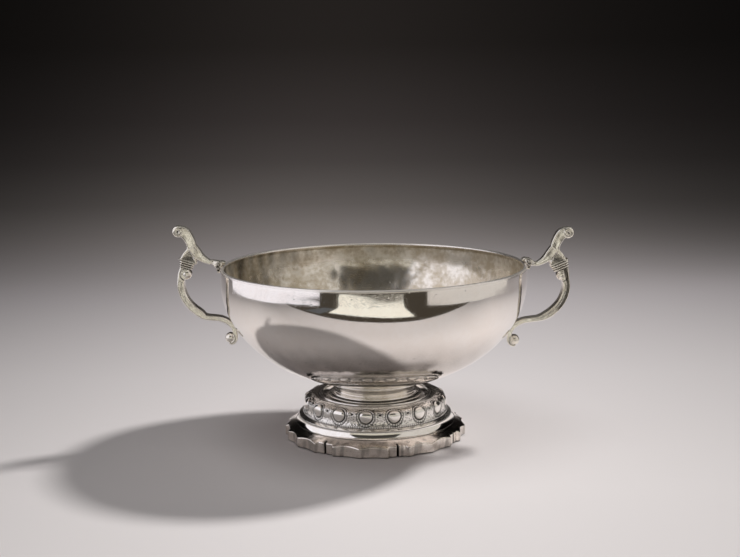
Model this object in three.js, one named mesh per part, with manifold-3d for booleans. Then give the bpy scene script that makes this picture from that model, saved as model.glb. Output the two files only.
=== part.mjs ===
// A two-handled silver wedding cup: a raised bowl on a moulded foot with a frieze of oval bosses,
// a base band cut to a contour of cusps and notches, and two cast handles in the shape of a double scroll.
// Millimetres, +Z up. The cup stands on z = 0, its axis is Z and the handles lie along X.
// The front of the cup faces -Y. Azimuths run from -Y towards +X.

import * as THREE from 'three';
import { mergeVertices } from 'three/addons/utils/BufferGeometryUtils.js';
import Module from 'manifold-3d';

const wasm = await Module();
wasm.setup();

// Driving dimensions

// Clearance between pieces that are seated on each other
const SEAT_GAP = 0.3;

// Bowl: half an ellipsoid under a short upright wall
const BOWL_RADIUS = 72.5;
const BOWL_CURVE_DEPTH = 50.6;
const BOWL_UPRIGHT = 7.4;
const BOWL_WALL = 1.2;
const LIP_WIDTH = 1.7;
const LIP_HEIGHT = 2.2;

// Base band: the contoured edge that the cup stands on
const BAND_CUSP_RADIUS = 43.8;
const BAND_SCALLOP_DEPTH = 1.5;
const BAND_SHOULDER_DEPTH = 1.4;
const BAND_SECTIONS = 8;
const BAND_CUSP_ANGLE = 16;
const BAND_EDGE_HEIGHT = 4.5;
const BAND_LAND_HEIGHT = 7.6;
const BAND_TOP_SLOPE = 0.57;
const BAND_WALL = 1.8;
const BAND_LAND_WIDTH = 1.9;
const BAND_AZIMUTH = -9.5;
const BAND_SHOULDER_ANGLE = 2;
const BAND_COVE_CENTRE = 0.3;
const BAND_COVE_RISE = 0.35;
const CREASE_WIDTH = 1.2;
const CREASE_DEPTH = 1.1;

// Skirt: the quarter-round moulding above the band
const SKIRT_RADIUS = 40.6;
const SKIRT_HEIGHT = 2.6;
const SKIRT_LAND_WIDTH = 1.9;
const SKIRT_WALL = 1.5;
const SKIRT_STEP = 0.5;

// Frieze ring: the bulging drum with the oval bosses
const FRIEZE_STEP_RADIUS = 36.1;
const FRIEZE_BULGE_RADIUS = 34;
const FRIEZE_STEP_HEIGHT = 1.7;
const FRIEZE_COVE_HEIGHT = 2.6;
const FRIEZE_BULGE_HEIGHT = 4.8;
const FRIEZE_LIP_RADIUS = 26.7;
const FRIEZE_LIP_WIDTH = 1.1;
const FRIEZE_LIP_RISE = 1;
const FRIEZE_LIP_TAPER = 0.2;
const FRIEZE_GROOVE_WIDTH = 0.6;
const FRIEZE_WALL = 1.8;
const BOSS_COUNT = 16;
const BOSS_WIDTH = 5.8;
const BOSS_HEIGHT = 5.6;
const BOSS_RELIEF = 0.7;
const BOSS_ROOT = 0.5;
const BOSS_RISE = 1.4;
const BOSS_AZIMUTH = -7.6;

// Neck: the spool that carries the bowl
const NECK_RISE = 4.8;
const NECK_TOP_RADIUS = 23;
const NECK_WAIST_RADIUS = 18.6;
const NECK_BEAD_RADIUS = 21;
const NECK_BASE_RADIUS = 22.4;
const NECK_BORE_RADIUS = 16.4;
const NECK_PLINTH_HEIGHT = 0.7;
const NECK_BEAD_HEIGHT = 1.2;
const NECK_EDGE_HEIGHT = 0.7;
const NECK_FLARE_DEPTH = 1.7;
const NECK_WAIST_SHARE = 0.58;

// Handles, measured out from the bowl's wall and up or down from its rim
const JOINT_REACH = 4.5;
const JOINT_RISE = 0.65;
const JOINT_HEIGHT = 2;
const LUG_RISE = 2.4;
const LUG_DROP = 3.2;
const LUG_DEPTH = 7;
const FINIAL_REACH = 19.6;
const FINIAL_RISE = 15.5;
const FINIAL_RADIUS = 2.7;
const STEM_WIDTH = 4.6;
const FLARE_WIDTH = 9.2;
const KNOP_REACH = 16.1;
const KNOP_DROP = 0.5;
const KNOP_TILT = 16;
const KNOP_WIDTH = 8.3;
const KNOP_HEIGHT = 3.2;
const KNOP_DEPTH = 6.8;
const STRAP_DEPTH = 6;
const STRAP_FLAT = 0.74;
const SCROLL_REACH = 21.3;
const SCROLL_DROP = 26.3;
const SCROLL_THICKNESS = 3.3;
const ARM_THICKNESS = 2.4;
const VOLUTE_RADIUS = 2.7;
const CONTACT_DROP = 30.3;
const CURL_RADIUS = 2.6;
const CURL_REACH = 0.8;
const CURL_DROP = 3.2;

// The two cast handles don't sit at quite the same height
const HANDLE_LIFT = { left: 1.3, right: -1.3 };

// Steps round the turned pieces
const BOWL_STEPS = 60;
const FOOT_STEPS = 48;

// Heights that follow from the sizes above, from the table up
const skirtBase = BAND_LAND_HEIGHT + SEAT_GAP;
const skirtTop = skirtBase + SKIRT_HEIGHT;
const friezeBase = skirtTop + SEAT_GAP;
const friezeCoveBase = friezeBase + FRIEZE_STEP_HEIGHT;
const friezeBulgeBase = friezeCoveBase + FRIEZE_COVE_HEIGHT;
const friezePlateTop = friezeBulgeBase + FRIEZE_BULGE_HEIGHT - SEAT_GAP;
const friezeLipTop = friezePlateTop + FRIEZE_LIP_RISE;
const neckBase = friezePlateTop + SEAT_GAP;
const bowlBase = neckBase + NECK_RISE;
const bowlShoulder = bowlBase + BOWL_CURVE_DEPTH;
const rimHeight = bowlShoulder + BOWL_UPRIGHT;

// Materials

const silver = new THREE.MeshStandardMaterial({ color: 0xd6d1c8, roughness: 0.18, metalness: 1 });
const castSilver = new THREE.MeshStandardMaterial({ color: 0xcfc7b4, roughness: 0.28, metalness: 1 });
const chasedSilver = new THREE.MeshStandardMaterial({ color: 0xbdb5a4, roughness: 0.38, metalness: 1 });

// Solids

// Merges shared vertices, drops the collapsed triangles on the axis and turns the faces outwards.
function closedBody(geometry) {
  geometry.deleteAttribute('normal');
  geometry.deleteAttribute('uv');
  const merged = mergeVertices(geometry, 1e-4);
  const index = merged.index.array;
  const position = merged.attributes.position;
  const kept = [];
  const a = new THREE.Vector3();
  const b = new THREE.Vector3();
  const c = new THREE.Vector3();
  let volume = 0;
  for (let i = 0; i < index.length; i += 3) {
    const [p, q, r] = [index[i], index[i + 1], index[i + 2]];
    if (p === q || q === r || r === p) continue;
    kept.push(p, q, r);
    a.fromBufferAttribute(position, p);
    b.fromBufferAttribute(position, q);
    c.fromBufferAttribute(position, r);
    volume += a.dot(b.cross(c));
  }
  merged.setIndex(volume < 0 ? kept.reverse() : kept);
  merged.computeVertexNormals();
  return merged;
}

function toSolid(geometry) {
  const body = closedBody(geometry);
  return new wasm.Manifold(new wasm.Mesh({
    numProp: 3,
    vertProperties: new Float32Array(body.attributes.position.array),
    triVerts: new Uint32Array(body.index.array),
  }));
}

function fromSolid(solid) {
  const mesh = solid.getMesh();
  const geometry = new THREE.BufferGeometry();
  geometry.setAttribute('position', new THREE.BufferAttribute(mesh.vertProperties, 3));
  geometry.setIndex(new THREE.BufferAttribute(mesh.triVerts, 1));
  geometry.computeVertexNormals();
  return geometry;
}

// A turned piece: points are [radius, height] pairs.
function turned(points, steps) {
  const profile = points.map(([radius, height]) => new THREE.Vector2(radius, height));
  return new THREE.LatheGeometry(profile, steps).rotateX(Math.PI / 2);
}

// Points along a part of an ellipse, from one angle in degrees to another. Angle 0 points outwards.
function ellipseArc(centreR, centreZ, semiR, semiZ, from, to, steps) {
  const points = [];
  for (let i = 0; i <= steps; i += 1) {
    const angle = THREE.MathUtils.degToRad(from + ((to - from) * i) / steps);
    points.push([centreR + semiR * Math.cos(angle), centreZ + semiZ * Math.sin(angle)]);
  }
  return points;
}

// A place on a circle round the axis, by azimuth in degrees from the front.
function aroundAxis(radius, azimuth, height) {
  const angle = THREE.MathUtils.degToRad(azimuth);
  return new THREE.Vector3(radius * Math.sin(angle), -radius * Math.cos(angle), height);
}

// Radius of the bowl's outer face at a height.
function bowlRadiusAt(height) {
  const rise = Math.min(Math.max((bowlShoulder - height) / BOWL_CURVE_DEPTH, 0), 1);
  return BOWL_RADIUS * Math.sqrt(1 - rise * rise);
}

// Height of the bowl's underside at a radius.
function bowlUndersideAt(radius) {
  const share = Math.min(radius / BOWL_RADIUS, 1);
  return bowlShoulder - BOWL_CURVE_DEPTH * Math.sqrt(1 - share * share);
}

// The bowl with its inside filled, grown by the seat gap. It cuts the faces that meet the bowl.
function bowlCutter() {
  const grownRadius = BOWL_RADIUS + SEAT_GAP;
  const grownDepth = BOWL_CURVE_DEPTH + SEAT_GAP;
  const curve = ellipseArc(0, bowlShoulder, grownRadius, grownDepth, -90, 0, 24);
  return toSolid(turned([...curve, [grownRadius, rimHeight + SEAT_GAP], [0, rimHeight + SEAT_GAP]], BOWL_STEPS));
}

// Bowl

function bowl() {
  const innerRadius = BOWL_RADIUS - BOWL_WALL;
  const outer = ellipseArc(0, bowlShoulder, BOWL_RADIUS, BOWL_CURVE_DEPTH, -90, 0, 12);
  const inner = ellipseArc(0, bowlShoulder, innerRadius, BOWL_CURVE_DEPTH - BOWL_WALL, 0, -90, 7);
  const lipCentre = BOWL_RADIUS - LIP_WIDTH / 2;
  const lip = ellipseArc(lipCentre, rimHeight - LIP_WIDTH / 2, LIP_WIDTH / 2, LIP_WIDTH / 2, 0, 180, 4);
  const lipFoot = [innerRadius, rimHeight - LIP_HEIGHT];
  return turned([...outer, ...lip, lipFoot, ...inner], BOWL_STEPS);
}

// Base band

// Radius of the band's contour, by degrees from the middle of a section.
// Each section has cusps at its middle and at BAND_CUSP_ANGLE, hollow scallops between them,
// and a shoulder that steps in before the notch.
function contourRadius(offset) {
  const away = Math.abs(offset);
  if (away <= BAND_CUSP_ANGLE) {
    return BAND_CUSP_RADIUS - BAND_SCALLOP_DEPTH * Math.sin((Math.PI * away) / BAND_CUSP_ANGLE);
  }
  const shoulder = Math.min((away - BAND_CUSP_ANGLE) / BAND_SHOULDER_ANGLE, 1);
  return BAND_CUSP_RADIUS - BAND_SHOULDER_DEPTH * shoulder;
}

// The band's cross-section where its contour has a given radius, as [radius, height] pairs.
function bandSection(edgeRadius) {
  const edgeHeight = BAND_EDGE_HEIGHT + BAND_TOP_SLOPE * (BAND_CUSP_RADIUS - edgeRadius);
  const landOuter = SKIRT_RADIUS;
  const landInner = landOuter - BAND_LAND_WIDTH;
  const underside = edgeHeight - BAND_WALL;
  const cove = new THREE.QuadraticBezierCurve(
    new THREE.Vector2(landOuter, BAND_LAND_HEIGHT),
    new THREE.Vector2(landOuter + (edgeRadius - landOuter) * BAND_COVE_CENTRE, edgeHeight + BAND_COVE_RISE),
    new THREE.Vector2(edgeRadius, edgeHeight),
  );
  return [
    [edgeRadius - BAND_WALL, 0],
    [edgeRadius, 0],
    ...cove.getPoints(3).reverse().map((point) => [point.x, point.y]),
    [landInner, BAND_LAND_HEIGHT],
    [landInner, BAND_LAND_HEIGHT - BAND_WALL],
    [edgeRadius - BAND_WALL, underside],
  ];
}

// Sections of the band at closely spaced azimuths, joined into one ring.
function bandRing() {
  const pitch = 360 / BAND_SECTIONS;
  const scallopSteps = [0, 0.2, 0.4, 0.6, 0.8, 1].map((share) => share * BAND_CUSP_ANGLE);
  const half = [...scallopSteps, BAND_CUSP_ANGLE + BAND_SHOULDER_ANGLE];
  const offsets = [...half.slice(1).reverse().map((value) => -value), ...half];
  const positions = [];
  const index = [];
  const columns = offsets.length * BAND_SECTIONS;
  let rows = 0;
  for (let section = 0; section < BAND_SECTIONS; section += 1) {
    for (const offset of offsets) {
      const profile = bandSection(contourRadius(offset));
      rows = profile.length;
      for (const [radius, height] of profile) {
        positions.push(...aroundAxis(radius, BAND_AZIMUTH + section * pitch + offset, height).toArray());
      }
    }
  }
  for (let column = 0; column < columns; column += 1) {
    const next = (column + 1) % columns;
    for (let row = 0; row < rows; row += 1) {
      const up = (row + 1) % rows;
      const a = column * rows + row;
      const b = next * rows + row;
      const c = next * rows + up;
      const d = column * rows + up;
      index.push(a, b, c, a, c, d);
    }
  }
  const geometry = new THREE.BufferGeometry();
  geometry.setAttribute('position', new THREE.Float32BufferAttribute(positions, 3));
  geometry.setIndex(index);
  return geometry;
}

// The ring with an upright crease cut at each notch between two sections.
function baseBand() {
  const pitch = 360 / BAND_SECTIONS;
  const notchRadius = BAND_CUSP_RADIUS - BAND_SHOULDER_DEPTH;
  const reach = 2 * (CREASE_DEPTH + BAND_SHOULDER_DEPTH);
  let band = toSolid(bandRing());
  for (let section = 0; section < BAND_SECTIONS; section += 1) {
    const azimuth = BAND_AZIMUTH + (section + 0.5) * pitch;
    const crease = new THREE.CylinderGeometry(CREASE_WIDTH / 2, CREASE_WIDTH / 2, 2 * BAND_LAND_HEIGHT, 6);
    crease.scale(1, 1, (2 * reach) / CREASE_WIDTH).rotateX(Math.PI / 2);
    const centre = aroundAxis(notchRadius - CREASE_DEPTH + reach, azimuth, BAND_LAND_HEIGHT);
    crease.rotateZ(THREE.MathUtils.degToRad(azimuth)).translate(centre.x, centre.y, 0);
    band = band.subtract(toSolid(crease));
  }
  return fromSolid(band);
}

// Skirt

function skirt() {
  const landOuter = FRIEZE_STEP_RADIUS + SKIRT_STEP;
  const landInner = landOuter - SKIRT_LAND_WIDTH - SKIRT_WALL;
  const round = ellipseArc(landOuter, skirtBase, SKIRT_RADIUS - landOuter, SKIRT_HEIGHT, 90, 0, 6);
  return turned([
    [landInner, skirtTop],
    ...round,
    [SKIRT_RADIUS - BAND_LAND_WIDTH, skirtBase],
    [landInner, skirtTop - SKIRT_WALL],
    [landInner, skirtTop],
  ], FOOT_STEPS);
}

// Frieze ring

function friezeProfile() {
  const lipInner = FRIEZE_LIP_RADIUS - FRIEZE_LIP_WIDTH;
  const grooveRadius = FRIEZE_LIP_RADIUS + FRIEZE_GROOVE_WIDTH;
  const bulge = ellipseArc(
    grooveRadius, friezeBulgeBase, FRIEZE_BULGE_RADIUS - grooveRadius, FRIEZE_BULGE_HEIGHT, 90, 0, 5,
  );
  const cove = ellipseArc(
    FRIEZE_STEP_RADIUS, friezeBulgeBase, FRIEZE_STEP_RADIUS - FRIEZE_BULGE_RADIUS, FRIEZE_COVE_HEIGHT, 180, 270, 3,
  );
  const inside = FRIEZE_BULGE_RADIUS - FRIEZE_WALL;
  const plateUnderside = friezePlateTop - FRIEZE_WALL;
  return [
    [NECK_BORE_RADIUS, friezePlateTop],
    [lipInner, friezePlateTop],
    [lipInner + FRIEZE_LIP_TAPER, friezeLipTop],
    [FRIEZE_LIP_RADIUS, friezeLipTop],
    ...bulge,
    ...cove.slice(1),
    [FRIEZE_STEP_RADIUS, friezeBase],
    [inside, friezeBase],
    [inside, plateUnderside - FRIEZE_WALL],
    [inside - 2 * FRIEZE_WALL, plateUnderside],
    [NECK_BORE_RADIUS, plateUnderside],
    [NECK_BORE_RADIUS, friezePlateTop],
  ];
}

// The ring with a domed oval boss at each medallion.
function friezeRing() {
  let ring = toSolid(turned(friezeProfile(), FOOT_STEPS));
  const bossLevel = friezeBulgeBase + BOSS_RISE;
  for (let i = 0; i < BOSS_COUNT; i += 1) {
    const azimuth = BOSS_AZIMUTH + (i * 360) / BOSS_COUNT;
    const boss = new THREE.SphereGeometry(1, 8, 4);
    boss.scale(BOSS_WIDTH / 2, BOSS_RELIEF + BOSS_ROOT, BOSS_HEIGHT / 2);
    const centre = aroundAxis(FRIEZE_BULGE_RADIUS - BOSS_ROOT, azimuth, bossLevel);
    boss.rotateZ(THREE.MathUtils.degToRad(azimuth)).translate(centre.x, centre.y, centre.z);
    ring = ring.add(toSolid(boss));
  }
  return fromSolid(ring);
}

// Neck

function neck() {
  const seatAt = (radius) => bowlUndersideAt(radius) - SEAT_GAP;
  const beadBase = neckBase + NECK_PLINTH_HEIGHT;
  const beadHalf = NECK_BEAD_HEIGHT / 2;
  const beadCentre = beadBase + beadHalf;
  const waist = neckBase + NECK_RISE * NECK_WAIST_SHARE;
  const edgeBase = seatAt(NECK_TOP_RADIUS) - NECK_EDGE_HEIGHT;
  const flare = new THREE.CubicBezierCurve(
    new THREE.Vector2(NECK_WAIST_RADIUS, beadBase + NECK_BEAD_HEIGHT),
    new THREE.Vector2(NECK_WAIST_RADIUS, waist),
    new THREE.Vector2(NECK_WAIST_RADIUS + NECK_EDGE_HEIGHT, edgeBase - NECK_FLARE_DEPTH),
    new THREE.Vector2(NECK_TOP_RADIUS, edgeBase),
  );
  const seatInner = NECK_WAIST_RADIUS;
  const seatMiddle = (NECK_TOP_RADIUS + seatInner) / 2;
  return turned([
    [NECK_BORE_RADIUS, neckBase],
    [NECK_BASE_RADIUS, neckBase],
    [NECK_BASE_RADIUS, beadBase],
    ...ellipseArc(NECK_BEAD_RADIUS - beadHalf, beadCentre, beadHalf, beadHalf, -90, 90, 3),
    ...flare.getPoints(4).map((point) => [point.x, point.y]),
    [NECK_TOP_RADIUS, seatAt(NECK_TOP_RADIUS)],
    [seatMiddle, seatAt(seatMiddle)],
    [seatInner, seatAt(seatInner)],
    [NECK_BORE_RADIUS, waist],
    [NECK_BORE_RADIUS, neckBase],
  ], FOOT_STEPS);
}

// Handles

// A flat-sided strap along a curve in the upright plane of the handle.
// Each station is [x, z, thickness in that plane, depth across it].
function strap(stations, steps) {
  const line = new THREE.CatmullRomCurve3(stations.map(([x, z]) => new THREE.Vector3(x, 0, z)), false, 'centripetal');
  const widths = new THREE.SplineCurve(stations.map((station) => new THREE.Vector2(station[2], station[3])));
  const flat = STRAP_FLAT;
  const corners = [[1, flat], [flat, 1], [-flat, 1], [-1, flat], [-1, -flat], [-flat, -1], [flat, -1], [1, -flat]];
  const positions = [];
  const index = [];
  for (let step = 0; step <= steps; step += 1) {
    const share = step / steps;
    const centre = line.getPoint(share);
    const tangent = line.getTangent(share);
    const normal = new THREE.Vector3(-tangent.z, 0, tangent.x);
    const size = widths.getPoint(share);
    for (const [out, across] of corners) {
      const point = centre.clone().addScaledVector(normal, (out * size.x) / 2);
      positions.push(point.x, (across * size.y) / 2, point.z);
    }
  }
  const count = corners.length;
  for (let step = 0; step < steps; step += 1) {
    for (let corner = 0; corner < count; corner += 1) {
      const a = step * count + corner;
      const b = step * count + ((corner + 1) % count);
      index.push(a, b, b + count, a, b + count, a + count);
    }
  }
  const last = steps * count;
  for (let corner = 1; corner < count - 1; corner += 1) {
    index.push(0, corner + 1, corner, last, last + corner, last + corner + 1);
  }
  const geometry = new THREE.BufferGeometry();
  geometry.setAttribute('position', new THREE.Float32BufferAttribute(positions, 3));
  geometry.setIndex(index);
  return geometry;
}

// The rolled end of a scroll: a disc across the strap, domed on both sides, with a softened edge.
function volute(x, z, radius, depth) {
  const half = depth / 2;
  const profile = [[0, -half], [radius * 0.55, -half * 0.94], [radius * 0.88, -half * 0.66], [radius, -half * 0.4]];
  const mirrored = profile.map(([r, y]) => [r, -y]).reverse();
  return turned([...profile, ...mirrored], 12).rotateX(Math.PI / 2).translate(x, 0, z);
}

// The places that the pieces of one handle share, for a handle on the +X side.
function handlePlan(lift) {
  const wall = BOWL_RADIUS;
  const contactZ = rimHeight - CONTACT_DROP + lift;
  const tilt = THREE.MathUtils.degToRad(KNOP_TILT);
  return {
    wall,
    jointX: wall + JOINT_REACH,
    jointZ: rimHeight + JOINT_RISE + lift,
    knopX: wall + KNOP_REACH,
    knopZ: rimHeight - KNOP_DROP + lift,
    tilt,
    finialX: wall + FINIAL_REACH,
    finialZ: rimHeight + FINIAL_RISE + lift,
    outerX: wall + SCROLL_REACH - SCROLL_THICKNESS / 2,
    lowZ: rimHeight - SCROLL_DROP + lift,
    contactX: bowlRadiusAt(contactZ),
    contactZ,
  };
}

// A point on the knop's leaning axis, up from its middle, and out from the axis.
function alongKnop(plan, up, out = 0) {
  return [
    plan.knopX - up * Math.sin(plan.tilt) + out * Math.cos(plan.tilt),
    plan.knopZ + up * Math.cos(plan.tilt) + out * Math.sin(plan.tilt),
  ];
}

// Turns a shape about the knop's middle from upright to the knop's lean.
function leanWithKnop(geometry, plan) {
  return geometry.rotateY(-plan.tilt).translate(plan.knopX, 0, plan.knopZ);
}

// A block a little wider than the knop, from one height on its axis to another.
// It cuts the faces of the castings that meet the knop.
function knopBlock(plan, from, to) {
  const size = FLARE_WIDTH + 4 * SEAT_GAP;
  return toSolid(leanWithKnop(new THREE.BoxGeometry(size, size, to - from).translate(0, 0, (from + to) / 2), plan));
}

// A clasp that folds over the bowl's lip, and a short tongue out to the joint with the upper arm.
function rimLug(plan) {
  const end = plan.jointX - SEAT_GAP / 2;
  const clasp = strap([
    [plan.wall + 1, rimHeight - LUG_DROP, 1.4, LUG_DEPTH * 0.45],
    [plan.wall + 1, rimHeight - LUG_DROP * 0.4, 2.2, LUG_DEPTH * 0.9],
    [plan.wall + 0.7, rimHeight + LUG_RISE * 0.25, 2.6, LUG_DEPTH],
    [plan.wall - LIP_WIDTH * 0.4, rimHeight + LUG_RISE * 0.62, 1.9, LUG_DEPTH * 0.8],
    [plan.wall - LIP_WIDTH * 1.2, rimHeight + LUG_RISE * 0.5, 1.3, LUG_DEPTH * 0.6],
  ], 8);
  const tongue = strap([
    [plan.wall + 0.6, rimHeight + 0.4, 4, LUG_DEPTH * 0.75],
    [(plan.wall + end) / 2, (rimHeight + 0.4 + plan.jointZ) / 2, 3.1, LUG_DEPTH * 0.66],
    [end - 0.6, plan.jointZ, JOINT_HEIGHT, STRAP_DEPTH * 0.62],
    [end, plan.jointZ, JOINT_HEIGHT, STRAP_DEPTH * 0.62],
  ], 5);
  return toSolid(clasp).add(toSolid(tongue)).subtract(bowlCutter());
}

// The upper casting: a broad arm from the lug, swept up into a stem that rolls over outwards,
// and a bell-shaped flare below the stem that stands on the knop.
function thumbScroll(plan) {
  const start = plan.jointX + SEAT_GAP / 2;
  const face = KNOP_HEIGHT / 2 + SEAT_GAP;
  const rise = plan.finialZ - plan.knopZ;
  const stemZ = (share) => plan.knopZ + rise * share;
  const stem = strap([
    [...alongKnop(plan, face - 1.2), FLARE_WIDTH, STRAP_DEPTH],
    [...alongKnop(plan, face + 0.2), FLARE_WIDTH * 0.94, STRAP_DEPTH * 0.96],
    [plan.knopX - 0.9, stemZ(0.26), STEM_WIDTH + 1.2, STRAP_DEPTH * 0.78],
    [plan.knopX - 2.2, stemZ(0.43), STEM_WIDTH - 0.4, STRAP_DEPTH * 0.7],
    [plan.knopX - 2.5, stemZ(0.57), STEM_WIDTH - 0.2, STRAP_DEPTH * 0.72],
    [plan.knopX - 1.5, stemZ(0.76), STEM_WIDTH, STRAP_DEPTH * 0.8],
    [plan.finialX - 2.5, plan.finialZ - 0.9, STEM_WIDTH, STRAP_DEPTH * 0.95],
    [plan.finialX, plan.finialZ + 0.2, STEM_WIDTH, STRAP_DEPTH * 0.95],
  ], 13);
  const arm = strap([
    [start, plan.jointZ, JOINT_HEIGHT, STRAP_DEPTH * 0.62],
    [start + 0.6, plan.jointZ, JOINT_HEIGHT, STRAP_DEPTH * 0.64],
    [start + 2.4, plan.jointZ + 0.8, JOINT_HEIGHT * 1.3, STRAP_DEPTH * 0.7],
    [start + 4.4, plan.jointZ + 2.1, JOINT_HEIGHT * 1.7, STRAP_DEPTH * 0.76],
    [start + 6.4, plan.jointZ + 3.9, STEM_WIDTH, STRAP_DEPTH * 0.8],
    [plan.knopX - 2.8, stemZ(0.52), STEM_WIDTH, STRAP_DEPTH * 0.74],
  ], 7);
  return toSolid(stem)
    .add(toSolid(arm))
    .add(toSolid(volute(plan.finialX, plan.finialZ, FINIAL_RADIUS, STRAP_DEPTH)))
    .subtract(knopBlock(plan, face - 2 * KNOP_HEIGHT, face));
}

// A collar of three fillets between the upper and the lower casting.
function knop(plan) {
  const fillet = KNOP_HEIGHT / 3;
  const profile = [[0, -KNOP_HEIGHT / 2]];
  for (const place of [-1, 0, 1]) {
    const radius = (KNOP_WIDTH / 2) * (1 + 0.06 * place);
    profile.push(...ellipseArc(radius - fillet / 2, place * fillet, fillet / 2, fillet / 2, -75, 75, 2));
  }
  profile.push([0, KNOP_HEIGHT / 2]);
  return leanWithKnop(turned(profile, 16).scale(1, KNOP_DEPTH / KNOP_WIDTH, 1), plan);
}

// The lower casting: a scroll down from the knop with a volute inside its top, an arm back to the bowl
// that is soldered to the bowl's side, and an end curled outwards into a second volute.
function cScroll(plan) {
  const face = -KNOP_HEIGHT / 2 - SEAT_GAP;
  const top = alongKnop(plan, face)[1];
  const fall = top - plan.lowZ;
  const curlX = plan.contactX + CURL_REACH + CURL_RADIUS;
  const curlZ = plan.contactZ - CURL_DROP - CURL_RADIUS;
  const armX = plan.contactX + 15;
  const body = strap([
    [...alongKnop(plan, face + 1.2, 0.4), KNOP_WIDTH * 0.7, STRAP_DEPTH * 0.9],
    [...alongKnop(plan, face - 0.3, 0.5), KNOP_WIDTH * 0.68, STRAP_DEPTH * 0.9],
    [plan.outerX - 1, top - fall * 0.13, SCROLL_THICKNESS * 1.3, STRAP_DEPTH * 0.9],
    [plan.outerX - 0.2, top - fall * 0.24, SCROLL_THICKNESS, STRAP_DEPTH],
    [plan.outerX, top - fall * 0.37, SCROLL_THICKNESS, STRAP_DEPTH],
    [plan.outerX - 0.8, top - fall * 0.52, SCROLL_THICKNESS, STRAP_DEPTH],
    [plan.outerX - 2.5, top - fall * 0.67, SCROLL_THICKNESS, STRAP_DEPTH],
    [plan.outerX - 5.1, top - fall * 0.8, SCROLL_THICKNESS, STRAP_DEPTH],
    [plan.outerX - 8.7, top - fall * 0.92, SCROLL_THICKNESS, STRAP_DEPTH],
    [armX, plan.lowZ + 0.2, ARM_THICKNESS + 0.2, STRAP_DEPTH],
    [armX - 3.6, plan.lowZ - 0.3, ARM_THICKNESS, STRAP_DEPTH],
    [armX - 7.2, plan.lowZ - 0.8, ARM_THICKNESS, STRAP_DEPTH * 0.95],
    [plan.contactX + 4.1, plan.contactZ + 1.9, ARM_THICKNESS, STRAP_DEPTH * 0.9],
    [plan.contactX + 1.4, plan.contactZ - 0.9, ARM_THICKNESS + 0.8, STRAP_DEPTH * 0.9],
    [plan.contactX + 0.8, plan.contactZ - CURL_DROP - 0.6, ARM_THICKNESS, STRAP_DEPTH * 0.9],
    [curlX - CURL_RADIUS * 0.6, curlZ - CURL_RADIUS * 0.6, ARM_THICKNESS * 0.8, STRAP_DEPTH * 0.85],
    [curlX, curlZ - CURL_RADIUS * 0.5, ARM_THICKNESS * 0.6, STRAP_DEPTH * 0.8],
  ], 27);
  const inner = alongKnop(plan, face - VOLUTE_RADIUS, -1);
  return toSolid(body)
    .add(toSolid(volute(inner[0], inner[1], VOLUTE_RADIUS, STRAP_DEPTH * 0.96)))
    .add(toSolid(volute(curlX, curlZ, CURL_RADIUS, STRAP_DEPTH * 0.96)))
    .subtract(knopBlock(plan, face, face + 2 * KNOP_HEIGHT))
    .subtract(bowlCutter());
}

// Assembly

const cup = new THREE.Group();

function addPiece(name, geometry, material) {
  const mesh = new THREE.Mesh(closedBody(geometry), material);
  mesh.name = name;
  cup.add(mesh);
}

addPiece('bowl', bowl(), silver);
addPiece('neck', neck(), silver);
addPiece('frieze_ring', friezeRing(), chasedSilver);
addPiece('foot_skirt', skirt(), silver);
addPiece('base_band', baseBand(), silver);

for (const [name, side] of [['left', -1], ['right', 1]]) {
  const plan = handlePlan(HANDLE_LIFT[name]);
  addPiece(`${name}_rim_lug`, fromSolid(rimLug(plan)).scale(side, 1, 1), castSilver);
  addPiece(`${name}_thumb_scroll`, fromSolid(thumbScroll(plan)).scale(side, 1, 1), castSilver);
  addPiece(`${name}_knop`, knop(plan).scale(side, 1, 1), castSilver);
  addPiece(`${name}_c_scroll`, fromSolid(cScroll(plan)).scale(side, 1, 1), castSilver);
}

export default cup;
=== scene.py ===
"""A two-handled silver wedding cup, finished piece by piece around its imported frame.

The cup stands on z = 0 with its axis on Z, its handles along X and its front towards -Y. Sizes are in
millimetres in the classes and become metres when a mesh is made. Azimuths run from the front towards +X.
"""

import logging
from collections.abc import Callable
from dataclasses import dataclass
from enum import Enum
from typing import NamedTuple

import bmesh
import bpy
import numpy as np
from mathutils import Matrix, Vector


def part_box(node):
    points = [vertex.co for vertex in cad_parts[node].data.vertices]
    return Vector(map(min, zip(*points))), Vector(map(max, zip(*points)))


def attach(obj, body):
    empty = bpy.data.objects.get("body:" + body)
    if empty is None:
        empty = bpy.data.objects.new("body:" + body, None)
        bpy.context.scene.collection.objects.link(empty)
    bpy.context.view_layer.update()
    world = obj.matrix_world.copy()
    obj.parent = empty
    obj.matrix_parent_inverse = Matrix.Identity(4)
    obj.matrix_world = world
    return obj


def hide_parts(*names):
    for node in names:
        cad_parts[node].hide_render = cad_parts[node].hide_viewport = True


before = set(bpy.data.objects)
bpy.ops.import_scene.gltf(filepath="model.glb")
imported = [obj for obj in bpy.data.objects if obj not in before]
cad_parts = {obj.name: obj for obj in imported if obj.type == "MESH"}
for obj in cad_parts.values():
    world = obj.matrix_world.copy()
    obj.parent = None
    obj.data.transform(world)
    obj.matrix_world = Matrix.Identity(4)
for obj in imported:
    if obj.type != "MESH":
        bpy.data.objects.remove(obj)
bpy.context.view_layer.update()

MM = 0.001
BODY = "root"
LOG = logging.getLogger("wedding_cup")
Pair = tuple[float, float]
Triple = tuple[float, float, float]


class Mask(Enum):
    """Names of the values that a mesh carries for its material, each from 0 to 1."""

    INSIDE = "inside"
    # Painted shade in recesses, creases and joints, with some dark streaks and specks.
    GRIME = "grime"
    MATT = "matt"


# Lines and profiles


def node_box(node: str) -> tuple[np.ndarray, np.ndarray]:
    """Returns the lowest and the highest corner of a CAD node, in millimetres."""
    low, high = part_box(node)
    return np.array(low) / MM, np.array(high) / MM


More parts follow.
